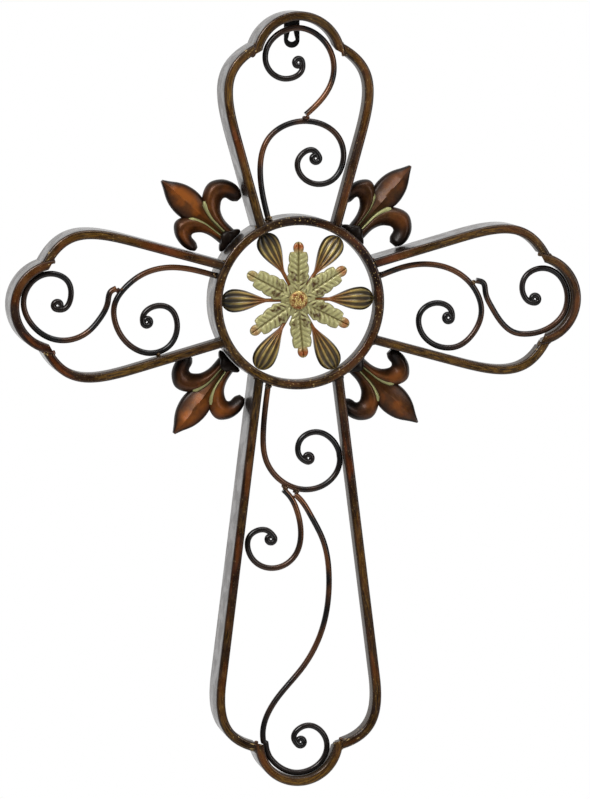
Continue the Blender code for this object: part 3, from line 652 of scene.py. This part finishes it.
def with_eye(line):
    """Line that ends in a tight eye, turning the way it already turns and tightening as it goes."""
    before, after = line[-2] - line[-3], line[-1] - line[-2]
    bend = math.copysign(EYE_TURN / EYE_STEPS, -before.angle_signed(after))
    heading = math.atan2(after.y, after.x)
    result = list(line)
    for k in range(EYE_STEPS):
        share = max(0, (k / EYE_STEPS * EYE_TURN - math.pi) / (EYE_TURN - math.pi))
        radius = HOOK_RADIUS + (EYE_RADIUS - HOOK_RADIUS) * share ** 0.7
        heading += bend / 2
        result.append(result[-1] + abs(bend) * radius * Vector((math.cos(heading), math.sin(heading))))
        heading += bend / 2
    return result


def beside(line, share):
    """Start of a rod beside another line, at a share of its length, and the line's own point there."""
    lengths = [0.0]
    for one, two in zip(line, line[1:]):
        lengths.append(lengths[-1] + (two - one).length)
    k = next(i for i, length in enumerate(lengths) if length >= share * lengths[-1])
    along = (line[k + 1] - line[k]).normalized()
    out = Vector((along.y, -along.x))
    if out.x < 0:
        out = -out
    return line[k] + out * (ROD + GAP), line[k]


def scroll_lines():
    """Centre line of every scroll without its eye, and where it springs from another or the ring."""
    lines, joints = {}, {}
    for name, (arm_name, start, shares) in SCROLLS.items():
        arm = ARMS[arm_name][1]
        points = [arm.rod_point(far, side) for far, side in shares]
        if start:
            spring, parent_spot = beside(lines[start[0]], start[1])
            points.insert(0, spring)
            joints[name] = (parent_spot, spring)
        else:
            inward = (points[0] - points[1]).normalized()
            points[0] = slide_to_circle(points[1], inward, Vector((0, 0)), RING_RADIUS + ROD / 2, True)
        lines[name] = [arm.kept_inside(point) for point in smooth_line(points)]
        if not start:
            welded = slide_to_circle(points[0], inward, Vector((0, 0)), RING_RADIUS - GAP, True)
            joints[name] = (welded, points[0])
    return lines, joints


def rod_tree(material):
    """Geometry nodes: a round rod along a curve, with how far along and around it each point is."""
    tree, w, given, out = new_group(
        "round rod", "Geometry", {"Route": "Geometry", "Rod Radius": "Float", "Sides": "Int"},
        {"Rod": "Geometry"})
    route = w.add("GeometryNodeStoreNamedAttribute", Name="along", Geometry=given["Route"],
                  Value=w.add("GeometryNodeSplineParameter").outputs["Length"])
    circle = w.add("GeometryNodeCurvePrimitiveCircle", Resolution=given["Sides"], Radius=given["Rod Radius"])
    section = w.add("GeometryNodeStoreNamedAttribute", Name="around", Geometry=circle.outputs["Curve"],
                    Value=w.add("GeometryNodeSplineParameter").outputs["Factor"])
    sweep = w.add("GeometryNodeCurveToMesh", Curve=route.outputs[0], Profile_Curve=section.outputs[0],
                  Fill_Caps=True)
    smooth = w.add("GeometryNodeSetShadeSmooth", Geometry=sweep.outputs[0])
    w.feed(out["Rod"], w.painted(smooth.outputs[0], material))
    return tree


def run_tree(thing, tree, **values):
    """Plain mesh out of an object with a geometry nodes modifier."""
    modifier = thing.modifiers.new("nodes", "NODES")
    modifier.node_group = tree
    for item in tree.interface.items_tree:
        if item.in_out == "INPUT" and item.name.replace(" ", "_") in values:
            modifier[item.identifier] = values[item.name.replace(" ", "_")]
    graph = bpy.context.evaluated_depsgraph_get()
    mesh = bpy.data.meshes.new_from_object(thing.evaluated_get(graph))
    bpy.data.objects.remove(thing)
    return mesh


def rod_along(name, points, radii, tree, offset):
    """Mesh of a rod through points, with its radius as a share at each."""
    curve = bpy.data.curves.new(name, "CURVE")
    curve.dimensions = "3D"
    spline = curve.splines.new("POLY")
    spline.points.add(len(points) - 1)
    for spot, point, radius in zip(spline.points, points, radii):
        spot.co = (*point, 1)
        spot.radius = radius
    mesh = run_tree(put(name, curve), tree, Rod_Radius=ROD / 2, Sides=ROD_SIDES)
    along = np.zeros(len(mesh.vertices))
    mesh.attributes["along"].data.foreach_get("value", along)
    length = along.max()
    rubbed = np.clip(1.1 - 1.7 * along / length, 0, 1) + 0.05
    mesh.attributes.new("rubbed", "FLOAT", "POINT").data.foreach_set("value", rubbed)
    mesh.attributes["along"].data.foreach_set("value", along + offset)
    mesh.set_sharp_from_angle(angle=math.radians(50))
    return mesh


def make_scrolls():
    tree = rod_tree(RODS)
    lines, joints = scroll_lines()
    for order, (name, line) in enumerate(lines.items()):
        line = with_eye(line)
        if not SCROLLS[name][1]:
            line.insert(0, joints[name][0])
        matrix = turn_about_front(ARMS[SCROLLS[name][0]][0])
        points = [matrix @ Vector((p.x, ROD_Y, p.y)) for p in line]
        radii = [1.0] * len(line)
        for k in range(1, EYE_STEPS // 2 + 1):
            radii[-k] = 0.62 + 0.38 * 2 * k / EYE_STEPS
        radii[-1] *= 0.5
        mesh = rod_along(name, points, radii, tree, offset=order)
        finish_piece(f"{name}_round", mesh, "gunmetal_rod", name)
    return lines, joints


# Fleurs-de-lis
FLEUR_LENGTH = 91 * MM
FLEUR_HALF_WIDTH = 14.8 * MM
FLEUR_THICKNESS = 10 * MM
FLEUR_EDGE = 4.2 * MM
FLEUR_OFF_WALL = 3 * MM
COLLAR_HALF_WIDTH = 14.5 * MM
COLLAR_HEIGHT = 13 * MM
COLLAR_THICKNESS = 11.5 * MM
# Direction, lean and how much copper shows through; the right-hand fleurs get less, which paints shade on
# that side
FLEURS = {
    "fleur_upper_left": (136.5, 2.0, 1.25),
    "fleur_upper_right": (46.8, 2.0, 0.5),
    "fleur_lower_left": (222.8, 9.0, 1.0),
    "fleur_lower_right": (314.5, 2.0, 0.75),
}
LANCE = (
    (0.04, 0.17), (0.24, 0.24), (0.37, 0.39), (0.46, 0.62), (0.54, 0.92), (0.64, 1.0), (0.75, 0.9),
    (0.84, 0.68), (0.93, 0.33), (1, 0.08),
)
CURL_CREST = 0.36
CURL = (
    ((0.01, 0.05), (0.11, 0.05)), ((0.025, 0.22), (0.12, 0.20)), ((0.035, 0.36), (0.16, 0.30)),
    ((0.09, 0.50), (0.22, 0.355)), ((0.20, 0.58), (0.258, 0.37)), ((0.31, 0.59), (0.285, 0.362)),
    ((0.41, 0.51), (0.297, 0.34)), ((0.455, 0.40), (0.30, 0.312)), ((0.45, 0.30), (0.31, 0.275)),
    ((0.41, 0.235), (0.34, 0.235)),
)


def smooth_rows(rows, steps):
    """Rows of numbers made dense by a smooth curve through each column."""
    rows = np.array(rows, float)
    padded = np.vstack((2 * rows[0] - rows[1], rows, 2 * rows[-1] - rows[-2]))
    dense = []
    for k in range(1, len(padded) - 2):
        p0, p1, p2, p3 = padded[k - 1:k + 3]
        for step in range(steps):
            t = step / steps
            dense.append(0.5 * (2 * p1 + (p2 - p0) * t + (2 * p0 - 5 * p1 + 4 * p2 - p3) * t * t
                                + (3 * p1 - p0 - 3 * p2 + p3) * t ** 3))
    dense.append(rows[-1])
    return np.array(dense)


def lance_skin(shape):
    """Middle petal: two hollowed flanks that meet in a sharp ridge."""
    rows, darks, warms, pales = [], [], [], []
    across = np.linspace(-1, 1, 25)
    aside = np.abs(across)
    for up, wide in smooth_rows(LANCE, 6):
        wide = max(wide, 0.05)
        half = wide * FLEUR_HALF_WIDTH
        z = RING_RADIUS + up * FLEUR_LENGTH
        rise = (FLEUR_THICKNESS - FLEUR_EDGE) * min(1, 0.3 + wide)
        ridge = ramp(up, 0.2, 0.45)
        flank = (1 - aside) ** (1 - 0.15 * ridge) - 0.10 * ridge * np.sin(math.pi * aside)
        rounding = ramp(aside, 1, 0.88) ** 0.5
        height = FLEUR_EDGE * (0.35 + 0.65 * rounding) + rise * np.clip(flank, 0, 1)
        rows.append([(half * a, -h, z) for a, h in zip(across, height)] + [(half, 0, z), (-half, 0, z)])
        stem = ramp(up, 0.4, 0.15)
        dark = 0.9 * ramp(aside, 0.38, 0.88) + 0.7 * ramp(up, 0.8, 1) + 0.25 * stem
        darks.append([*np.clip(dark, 0, 0.95), 0.9, 0.9])
        warms.append([*np.clip(1.0 - 0.45 * stem - 0.3 * aside, 0, 1), 0.2, 0.2])
        pales.append([*(0.35 * stem * (aside > 0.4)), 0, 0])
    shape.skin(rows, dark=darks, warm=warms, pale=pales)


def curl_skin(shape, side, spread):
    """Side petal that curls out and down, its crest nearer to the outer edge."""
    rows, darks = [], []
    edges = smooth_rows([(*outer, *inner) for outer, inner in CURL], 6)
    shares = np.linspace(0, 1, 21)
    rising = np.sin(math.pi / 2 * ramp(shares, 0, CURL_CREST)) ** 0.7
    falling = np.cos(math.pi / 2 * np.clip((shares - CURL_CREST) / (1 - CURL_CREST), 0, 0.999)) ** 0.85
    edge = 0.8 * ramp(shares, 0.55, 0.95) + 0.8 * ramp(shares, 0.3, 0)
    for far, (x0, z0, x1, z1) in zip(np.linspace(0, 1, len(edges)), edges):
        rise = (FLEUR_THICKNESS - 1 * MM - FLEUR_EDGE) * (1 - 0.55 * ramp(far, 0.9, 1))
        depths = -FLEUR_EDGE * 0.6 - (FLEUR_EDGE * 0.4 + rise) * rising * falling
        xs = side * spread * FLEUR_LENGTH * (x0 + (x1 - x0) * shares)
        zs = RING_RADIUS + FLEUR_LENGTH * (z0 + (z1 - z0) * shares)
        rows.append([*zip(xs, depths, zs), (xs[-1], 0, zs[-1]), (xs[0], 0, zs[0])])
        dark = 0.95 * ramp(far, 0.5, 0.85) + edge + 0.6 * ramp(far, 0.15, 0)
        darks.append([*np.clip(dark, 0, 0.95), 0.9, 0.9])
    warm = [[*(0.9 - 0.4 * np.abs(shares - 0.5)), 0.1, 0.1]]
    shape.skin(rows, dark=darks, warm=warm, pale=0.0)


def tube_rows(points, radii, sides=12, flat=1.0):
    """Rows of a tube through 3-D points in a plane of constant depth."""
    rows = []
    last = len(points) - 1
    for k, (point, radius) in enumerate(zip(points, radii)):
        along = (points[min(k + 1, last)] - points[max(k - 1, 0)]).normalized()
        aside = Vector((-along.z, 0, along.x))
        rows.append([
            tuple(point + radius * (math.cos(a) * aside + flat * math.sin(a) * Vector((0, 1, 0))))
            for a in (math.tau * j / sides for j in range(sides))])
    return rows


def rib_skin(shape, side, spread):
    """Pale rib in the crease between the middle petal and a side petal, widest at its outer end."""
    profile = smooth_rows(LANCE, 6)
    edges = smooth_rows([(*outer, *inner) for outer, inner in CURL], 6)
    points, radii = [], []
    for k in range(14):
        share = k / 13
        z = 0.09 + 0.42 * share
        lance = np.interp(z, profile[:, 0], profile[:, 1]) * FLEUR_HALF_WIDTH
        curl = spread * FLEUR_LENGTH * np.interp(z, edges[:25, 1], edges[:25, 0])
        x = side * (0.5 * lance + 0.5 * curl + (0.6 + 0.8 * share) * MM)
        depth = -(FLEUR_EDGE + 2.8 * MM - 1.4 * MM * share)
        points.append(Vector((x, depth, RING_RADIUS + FLEUR_LENGTH * z)))
        radii.append((0.8 + 2.3 * share ** 1.3) * MM * (0.5 if k in (0, 13) else 1))
    shape.skin(tube_rows(points, radii, flat=0.8), pale=0.95, warm=0.5)


def collar_skin(shape):
    """Collar hollowed to the ring, with a round nib at each end."""
    rows = []
    steps = 40
    foot_radius = RING_RADIUS + GAP
    for k in range(steps + 1):
        share = 2 * k / steps - 1
        across = share * COLLAR_HALF_WIDTH
        foot = math.sqrt(foot_radius ** 2 - across ** 2)
        end = math.sqrt(max(1 - max(0, (abs(share) - 0.68) / 0.32) ** 2, 0.002))
        waist = 1 - 0.16 * math.exp(-((abs(share) - 0.52) / 0.12) ** 2)
        height = COLLAR_HEIGHT * (0.72 + 0.28 * math.cos(math.pi * share)) * waist
        thick = COLLAR_THICKNESS * (0.86 + 0.14 * math.cos(math.pi * share))
        mid_z = foot + height / 2
        row = []
        for j in range(20):
            a = math.tau * j / 20
            c, s = math.cos(a), math.sin(a)
            z = mid_z + end * height / 2 * math.copysign(abs(s) ** 0.7, s)
            y = -thick / 2 + end * thick / 2 * math.copysign(abs(c) ** 0.6, c)
            row.append((across, y, z))
        rows.append(row)
    shape.skin(rows, dark=0.85, warm=0.1)


def spread_to_bar(base, lean, side):
    """Sideways stretch that brings a fleur's curl up to the outer web of the bar beside it."""
    arm_direction = 90 * round((base - side * 45) / 90)
    arm = LOWER_ARM if arm_direction == 270 else SHORT_ARM
    foot = RING_RADIUS * Vector((math.cos(math.radians(base)), math.sin(math.radians(base))))
    axis = math.radians(base + lean)
    out, across = Vector((math.cos(axis), math.sin(axis))), Vector((math.sin(axis), -math.cos(axis)))
    arm_axis = math.radians(arm_direction)
    arm_out = Vector((math.cos(arm_axis), math.sin(arm_axis)))
    arm_across = Vector((-arm_out.y, arm_out.x))

    def is_clear(spread):
        points = [foot + FLEUR_LENGTH * (z * out + side * spread * x * across) for (x, z), _ in CURL]
        return all(abs(q.dot(arm_across)) > arm.bar_half(q.dot(arm_out), 0) + 3 * GAP for q in points)

    return boundary(0.5, 1.5, is_clear, steps=20)[0]


def make_fleurs(material):
    foot = Matrix.Translation((0, 0, RING_RADIUS))
    for name, (base, lean, copper_and_side_shade) in FLEURS.items():
        shape = Shape("dark", "warm", "pale")
        lance_skin(shape)
        for side in (1, -1):
            spread = spread_to_bar(base, lean, side)
            curl_skin(shape, side, spread)
            rib_skin(shape, side, spread)
        shape.turned(foot @ Matrix.Rotation(-math.radians(lean), 4, "Y") @ foot.inverted())
        collar_skin(shape)
        # each fleur's copper, lowered on the right-hand fleurs as painted shade
        shape.looks["warm"] = [copper_and_side_shade * warm for warm in shape.looks["warm"]]
        shape.turned(turn_about_front(base - 90) @ Matrix.Translation((0, -FLEUR_OFF_WALL, 0)))
        shape.piece(f"{name}_cast", material, "copper_fleur", name)


# Flower
FLOWER_RAISE = 2.5 * MM
FLOWER_SETBACK = 11 * MM
PETAL_ANGLES = (0.4, 56, 118, 180, 239.5, 299)
PETAL_END_DARKNESS = (0.75, 0.3, 0.95, 1.0, 0.55, 0.6)  # how dark each petal's outer end is
PETAL_HALF_WIDTH = 11.4 * MM
PETAL_WIDEST = 0.72
PETAL_RIDGES = 4
STEM_HALF_WIDTH = 1.8 * MM
STEM_LENGTH = 31 * MM
STEM_THICKNESS = 2.6 * MM
LEAF_ANGLES = (32.4, 89.4, 151.9, 214.5, 275.5, 333.2)
RUST_OF_LEAVES = (0.8, 1.0, 0.35, 0.6, 1.0, 0.8)  # how rusty each leaf's tip is
LEAF_LENGTH = 57 * MM
LEAF_HALF_WIDTH = 12 * MM
LEAF_TAPER = 0.24
LEAF_SCALLOPS = 3
LEAF_NOTCH = 0.18
LEAF_TIP_HALF_WIDTH = 5.3 * MM
LEAF_TIP_LENGTH = 10 * MM
LEAF_ROOT = 15 * MM
LEAF_THICKNESS = 3 * MM
HUB_RADIUS = 17 * MM
BUTTON_RADIUS = 9.2 * MM
BUTTON_HEIGHT = 4 * MM
BEAD_COUNT = 46
BEAD_RADIUS = 1.2 * MM


def petal_half(share):
    if share < PETAL_WIDEST:
        swell = math.sin(math.pi / 2 * share / PETAL_WIDEST) ** 1.3
        return STEM_HALF_WIDTH + (PETAL_HALF_WIDTH - STEM_HALF_WIDTH) * swell
    return PETAL_HALF_WIDTH * math.sqrt(max(1 - ((share - PETAL_WIDEST) / (1 - PETAL_WIDEST)) ** 2, 0))


def flat_row(middle, aside, across, height):
    """Section with a flat back: its front points at given heights, then the back's two corners."""
    row = [middle + float(a) * aside - Vector((0, float(h), 0)) for a, h in zip(across, height)]
    return row + [middle + float(a) * aside for a in (across[-1], across[0])]


def petal_skin(shape, degrees, end_dark):
    """One fluted petal with its stem."""
    angle = math.radians(degrees)
    rim = RING_RADIUS - FACE_WIDTH - GAP
    eye = Vector((0, FLOWER_RAISE))
    ray = Vector((math.cos(angle), math.sin(angle)))
    length = (slide_to_circle(eye, ray, Vector((0, 0)), rim, False) - eye).length
    out, aside = Vector((math.cos(angle), 0, math.sin(angle))), Vector((-math.sin(angle), 0, math.cos(angle)))
    across = np.linspace(-1, 1, 41)
    wide = np.abs(across)
    wave = np.cos(math.pi * PETAL_RIDGES * (across + 1) - math.pi)
    rows, darks, valleys, necks = [], [], [], []
    for k in range(-4, 61):
        # the last stations crowd towards the round tip
        share = 1 - (1 - k / 60) ** 1.6 if k > 0 else 0
        far = STEM_LENGTH + (length - STEM_LENGTH) * share
        if k < 0:
            far = HUB_RADIUS / 2 + (STEM_LENGTH - HUB_RADIUS / 2) * (1 + k / 4)
        half = max(petal_half(share), 0.25 * MM)
        body = math.sin(math.pi * min(share * 1.05, 1)) ** 0.6
        dome = 1.9 * MM * body * (1 - across ** 2)
        rim_drop = 1.2 * MM * ramp(wide, 0.8, 1) ** 2
        height = STEM_THICKNESS + dome + 0.75 * MM * body * wave - rim_drop * min(1, half / (4 * MM))
        if share == 0:
            height = STEM_THICKNESS - 1.0 * MM * across ** 2
        rows.append(flat_row(far * out, half * aside, across, height))
        dark = end_dark * ramp(share, 0.5, 0.85) * (0.9 + 0.1 * (wave < 0)) + 0.6 * ramp(wide, 0.86, 1)
        darks.append([*np.clip(dark, 0, 0.96), 0.8, 0.8])
        valleys.append([*(ramp(wave, 0.85, 0.15) * min(1, share * 3) * 0.86), 0.5, 0.5])
        necks.append([ramp(share, 0.57, 0.12) * 0.9])
    shape.skin(rows, dark=darks, valley=valleys, neck=necks)


def leaf_half(far):
    body = LEAF_LENGTH - LEAF_TIP_LENGTH
    if far > body:
        share = (far - body) / LEAF_TIP_LENGTH
        return LEAF_TIP_HALF_WIDTH * math.sqrt(max(1 - (share * 1.6 - 0.6) ** 2, 0))
    count = LEAF_SCALLOPS * (body - far) / (body - LEAF_ROOT)
    within = count % 1
    envelope = LEAF_HALF_WIDTH * (1 - LEAF_TAPER * (1 - count / LEAF_SCALLOPS))
    return envelope * (1 - LEAF_NOTCH + LEAF_NOTCH * math.sqrt(4 * within * (1 - within)))


def leaf_skin(shape, degrees, rust):
    """One scalloped leaf with its middle groove and slanting veins."""
    angle = math.radians(degrees)
    out, aside = Vector((math.cos(angle), 0, math.sin(angle))), Vector((-math.sin(angle), 0, math.cos(angle)))
    across = np.linspace(-1, 1, 33)
    wide = np.abs(across)
    rows, darks, spots, rusts = [], [], [], []
    for k in range(101):
        far = HUB_RADIUS / 2 + (LEAF_LENGTH - HUB_RADIUS / 2) * k / 100
        half = min(max(leaf_half(max(far, LEAF_ROOT)), 0.3 * MM), 0.5 * far)
        crown = min(1, half / LEAF_TIP_HALF_WIDTH)
        swell = 0.55 + 0.45 * np.sin(math.pi * np.clip(wide, 0, 1))
        groove = np.exp(-(wide / 0.09) ** 2)
        vein = np.cos(math.tau * (far / (5.2 * MM) - 1.1 * wide))
        edge = ramp(wide, 0.86, 1)
        relief = 0.72 * swell - 0.30 * groove + 0.07 * vein - 0.3 * edge ** 2
        height = np.minimum(LEAF_THICKNESS * crown * relief + 0.35 * MM, LEAF_THICKNESS)
        rows.append(flat_row(far * out, half * aside, across, height))
        share = far / LEAF_LENGTH
        tip = ramp(share, 0.80, 0.90) * max(0.35, ramp(share, 1.0, 0.95))
        spot = np.clip(0.35 - vein, 0, 1) ** 1.2 * ramp(wide, 0, 0.2) * ramp(wide, 0.98, 0.73)
        sepal = np.clip(1 - np.hypot((share - 0.40) / 0.11, (wide - 0.5) / 0.34), 0, 1) * 2.2
        spots.append([*np.clip(spot * np.clip(1.45 - share * 1.35, 0.12, 1) + sepal, 0, 1), 0, 0])
        rusts.append([rust * tip])
        darks.append([*np.clip(0.75 * groove * (share > 0.3) + 0.55 * edge, 0, 0.85), 0.5, 0.5])
    shape.skin(rows, dark=darks, spot=spots, rust=rusts)


def circle_row(radius, depth, sides):
    turns = [math.tau * k / sides for k in range(sides)]
    return [(radius * math.cos(turn), -depth, radius * math.sin(turn)) for turn in turns]


def hub_skin(shape, **looks):
    """Thin disc with rounded edges in the middle of a rosette."""
    profile = ((0.6, 0.2), (0, 0.5), (0, 1.5), (0.5, 2))
    shape.skin([circle_row(HUB_RADIUS - inset * MM, depth * MM, 64) for inset, depth in profile], **looks)


def bead_tree(material):
    """Geometry nodes: beads of a set size and some variation on given points."""
    tree, w, given, out = new_group(
        "beads on points", "Geometry",
        {"Points": "Geometry", "Bead Radius": "Float", "Least Size": "Float", "Flatness": "Float"},
        {"Beads": "Geometry"})
    bead = w.add("GeometryNodeMeshIcoSphere", Subdivisions=3, Radius=given["Bead Radius"])
    smooth = w.add("GeometryNodeSetShadeSmooth", Geometry=bead.outputs["Mesh"])
    chance = w.add("FunctionNodeRandomValue", Seed=7)
    w.feed(chance.inputs[2], given["Least Size"])
    w.feed(chance.inputs[3], 1.0)
    size = chance.outputs[1]
    shape = w.add("ShaderNodeCombineXYZ", X=size, Y=w.times(size, given["Flatness"]), Z=size)
    spread = w.add("GeometryNodeInstanceOnPoints", Points=given["Points"], Instance=smooth.outputs[0],
                   Scale=shape.outputs[0])
    w.feed(out["Beads"], w.painted(spread.outputs[0], material))
    return tree


def beads(name, points, tree, **values):
    mesh = bpy.data.meshes.new(name)
    mesh.from_pydata([tuple(p) for p in points], [], [])
    return run_tree(put(name, mesh), tree, **values)


def make_flower():
    petals = petal_material()
    leaves = leaf_material()
    centre = RING_CENTRE + Vector((0, FRONT + FLOWER_SETBACK, FLOWER_RAISE))
    shape = Shape("dark", "valley", "neck")
    hub_skin(shape, dark=0.5, neck=1)
    for degrees, end_dark in zip(PETAL_ANGLES, PETAL_END_DARKNESS):
        petal_skin(shape, degrees, end_dark)
    shape.turned(Matrix.Translation(centre))
    shape.piece("petal_rosette_fluted", petals, "olive_petals", "petal_rosette", sharp=60)
    centre.y -= STEM_THICKNESS + GAP
    shape = Shape("dark", "spot", "rust")
    hub_skin(shape, spot=0.6)
    for degrees, rust in zip(LEAF_ANGLES, RUST_OF_LEAVES):
        leaf_skin(shape, degrees, rust)
    shape.turned(Matrix.Translation(centre))
    shape.piece("leaf_rosette_veined", leaves, "pale_green_leaves", "leaf_rosette", sharp=60)
    centre.y -= LEAF_THICKNESS + GAP
    make_button(centre)


def make_button(centre):
    """Low dome set with beads in a sunflower's pattern."""
    gold = button_material()
    points = []
    for k in range(BEAD_COUNT):
        radius = (BUTTON_RADIUS - BEAD_RADIUS) * math.sqrt((k + 0.5) / BEAD_COUNT)
        turn = k * math.pi * (3 - math.sqrt(5))
        rise = (BUTTON_HEIGHT - BEAD_RADIUS) * (1 - 0.75 * (radius / BUTTON_RADIUS) ** 2)
        points.append(centre + Vector((radius * math.cos(turn), -rise, radius * math.sin(turn))))
    mesh = beads("beads", points, bead_tree(gold), Bead_Radius=BEAD_RADIUS, Least_Size=0.72, Flatness=0.95)
    finish_piece("centre_button_beads", mesh, "gold_button")
    shape = Shape("dark")
    profile = ((0.94, 0), (1, 0.1), (0.97, 0.28), (0.8, 0.5), (0.55, 0.64), (0.25, 0.7))
    shape.skin([circle_row(BUTTON_RADIUS * radius, BUTTON_HEIGHT * rise, 48) for radius, rise in profile])
    shape.turned(Matrix.Translation(centre)).piece("centre_button_dome", gold, "gold_button", "centre_button")


def make_welds(lines, joints):
    """Lumps of weld where bars meet bows and where rods touch the frame or one another."""
    spots = []
    generator = np.random.default_rng(11)

    def lump(matrix, point, depth, count, reach):
        for _ in range(count):
            shift = generator.normal(0, 0.6 * reach, 3).clip(-reach, reach)
            spots.append(matrix @ Vector((point.x + shift[0], -depth + shift[1], point.y + shift[2])))

    for direction, arm, _ in ARMS.values():
        matrix = turn_about_front(direction)
        for side in (1, -1):
            seam = np.linspace(arm.cusp_angle, bow_end(arm, 0), 12)
            for angle in seam:
                where = arm.on_bow(angle, 0.6 * MM)
                lump(matrix, Vector((where.x, side * where.y)), FRAME_DEPTH - 2.1 * MM, 2, 0.5 * MM)
            corner = arm.on_bow(seam[-2], 1.5 * MM)
            lump(matrix, Vector((corner.x, side * corner.y)), FRAME_DEPTH - 3 * MM, 14, 1.5 * MM)
            root = arm.root - Vector((0, FACE_WIDTH / 2))
            for across in (-3.5, 0, 3.5):
                lump(matrix, Vector((root.x + (1.5 - 0.35 * across) * MM, side * (root.y + across * MM))),
                     FRAME_DEPTH - 3.4 * MM, 6, 1.4 * MM)
    touching = ROD / 2 + 2 * GAP
    for name, line in lines.items():
        arm_name = SCROLLS[name][0]
        matrix, arm = turn_about_front(ARMS[arm_name][0]), ARMS[arm_name][1]
        one, two = joints[name]
        lump(matrix, one.lerp(two, 0.5), -ROD_Y + 1.2 * MM, 16, 2.4 * MM)
        # the one spot of each scroll nearest to its side bars
        gaps = [arm.bar_half(p.x, FACE_WIDTH) - abs(p.y) for p in line[len(line) // 4:]]
        near = min(range(len(gaps)), key=gaps.__getitem__)
        if gaps[near] < touching + MM:
            spot = line[len(line) // 4 + near]
            touch = Vector((spot.x, math.copysign(abs(spot.y) + ROD / 2, spot.y)))
            lump(matrix, touch, -ROD_Y + 1.5 * MM, 9, 1.3 * MM)
    mesh = beads("welds", spots, bead_tree(FRAME), Bead_Radius=1.6 * MM, Least_Size=0.55, Flatness=0.9)
    along = np.array([v.co.x + v.co.z for v in mesh.vertices])
    looks = {"along": along, "around": 1.7 * along, "face": 1.0, "gold": 0.9, "dark": 0.5, "fleck": 1.0}
    for look, value in looks.items():
        values = np.full(len(mesh.vertices), value)
        mesh.attributes.new(look, "FLOAT", "POINT").data.foreach_set("value", values)
    finish_piece("weld_lumps", mesh, "patinated_frame")


# Camera and light
VIEW_AZIMUTH = math.radians(-11)
VIEW_ELEVATION = math.radians(5)
PIXEL = 0.974 * MM  # real size of a photograph's pixel at the ring's front
VIEW_DISTANCE = 4450 * PIXEL
PHOTO_WIDTH, PHOTO_HEIGHT = 590, 799
RING_PIXEL = Vector((299.5, 303.2))  # where the photograph shows the ring's centre


def make_camera():
    psi, phi = -VIEW_AZIMUTH, VIEW_ELEVATION
    ahead = Vector((math.sin(psi) * math.cos(phi), math.cos(psi) * math.cos(phi), -math.sin(phi)))
    right = Vector((math.cos(psi), -math.sin(psi), 0))
    up = right.cross(ahead)
    target = RING_CENTRE + Vector((0, FRONT, 0))
    place = target - ahead * VIEW_DISTANCE
    middle = Vector((PHOTO_WIDTH / 2, PHOTO_HEIGHT / 2)) - RING_PIXEL
    aim = target + PIXEL * (middle.x * right - middle.y * up)
    forward = (aim - place).normalized()
    level = forward.cross(Vector((0, 0, 1))).normalized()
    rise = level.cross(forward)
    data = bpy.data.cameras.new("camera")
    data.sensor_fit = "VERTICAL"
    data.sensor_height = 36
    data.lens = 36 * (aim - place).length / PIXEL / PHOTO_HEIGHT
    camera = put("camera", data)
    camera.matrix_world = Matrix((
        (level.x, rise.x, -forward.x, place.x), (level.y, rise.y, -forward.y, place.y),
        (level.z, rise.z, -forward.z, place.z), (0, 0, 0, 1)))
    data.clip_end = 30
    bpy.context.scene.camera = camera


def soft_light(name, place, size, power, aim=(0, 0, -0.38), colour=(1, 1, 1)):
    data = bpy.data.lights.new(name, "AREA")
    data.shape = "RECTANGLE"
    data.size, data.size_y = size
    data.energy = power
    data.color = colour
    lamp = put(name, data)
    lamp.location = place
    lamp.rotation_euler = (Vector(aim) - Vector(place)).to_track_quat("-Z", "Y").to_euler()


def make_studio():
    world = bpy.data.worlds.new("studio")
    bpy.context.scene.world = world
    world.use_nodes = True
    w = Wiring(world.node_tree)
    world.node_tree.nodes.clear()
    seen = w.add("ShaderNodeLightPath").outputs["Is Camera Ray"]
    direction = w.add("ShaderNodeTexCoord").outputs["Generated"]
    parts = w.add("ShaderNodeSeparateXYZ", Vector=direction)
    # bright behind and at the sides, dim in front, where the camera stands
    bright = w.between(parts.outputs[1], -0.35, 0.45, 0.05, 1.0)
    bright = w.math("MAXIMUM", bright, w.between(parts.outputs[2], 0.3, 0.9, 0.0, 0.35))
    strength = w.math("MAXIMUM", bright, seen)
    background = w.add("ShaderNodeBackground", Color=(1.0, 1.0, 1.0), Strength=strength)
    w.add("ShaderNodeOutputWorld", Surface=background.outputs[0])
    soft_light("key", (-1.3, -2.0, 1.2), (1.1, 1.1), 38)
    soft_light("fill", (1.6, -2.2, 0.1), (0.9, 1.6), 14)
    soft_light("rim", (0.4, -0.8, 1.6), (1.6, 0.5), 12)
    bpy.context.scene.view_settings.view_transform = "Standard"


def make_floor():
    mesh = bpy.data.meshes.new("floor")
    size, level = 6.0, -3.0  # low enough to stay out of the picture
    corners = [(x * size, y * size, level) for x, y in ((-1, -1), (1, -1), (1, 1), (-1, 1))]
    mesh.from_pydata(corners, [], [(0, 1, 2, 3)])
    material = bpy.data.materials.new("pale floor")
    material.use_nodes = True
    shader = material.node_tree.nodes["Principled BSDF"]
    shader.inputs["Base Color"].default_value = (0.93, 0.93, 0.93, 1)
    shader.inputs["Roughness"].default_value = 0.9
    mesh.materials.append(material)
    put("floor", mesh)


def main():
    make_camera()
    make_studio()
    make_floor()
    make_ring()
    for k, (arm_name, (turn, arm, sides)) in enumerate(ARMS.items()):
        for side, word in zip((1, -1), sides):
            make_bar(f"{arm_name}_{word}_bar", arm, side, turn, start=2 * k + side)
        make_bow(f"{arm_name}_bow", arm, turn, start=10 + k)
    lines, joints = make_scrolls()
    make_fleurs(fleur_material())
    make_flower()
    make_welds(lines, joints)
    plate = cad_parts["hanger_plate"]
    plate.data.materials.clear()
    plate.data.materials.append(plate_material())


main()
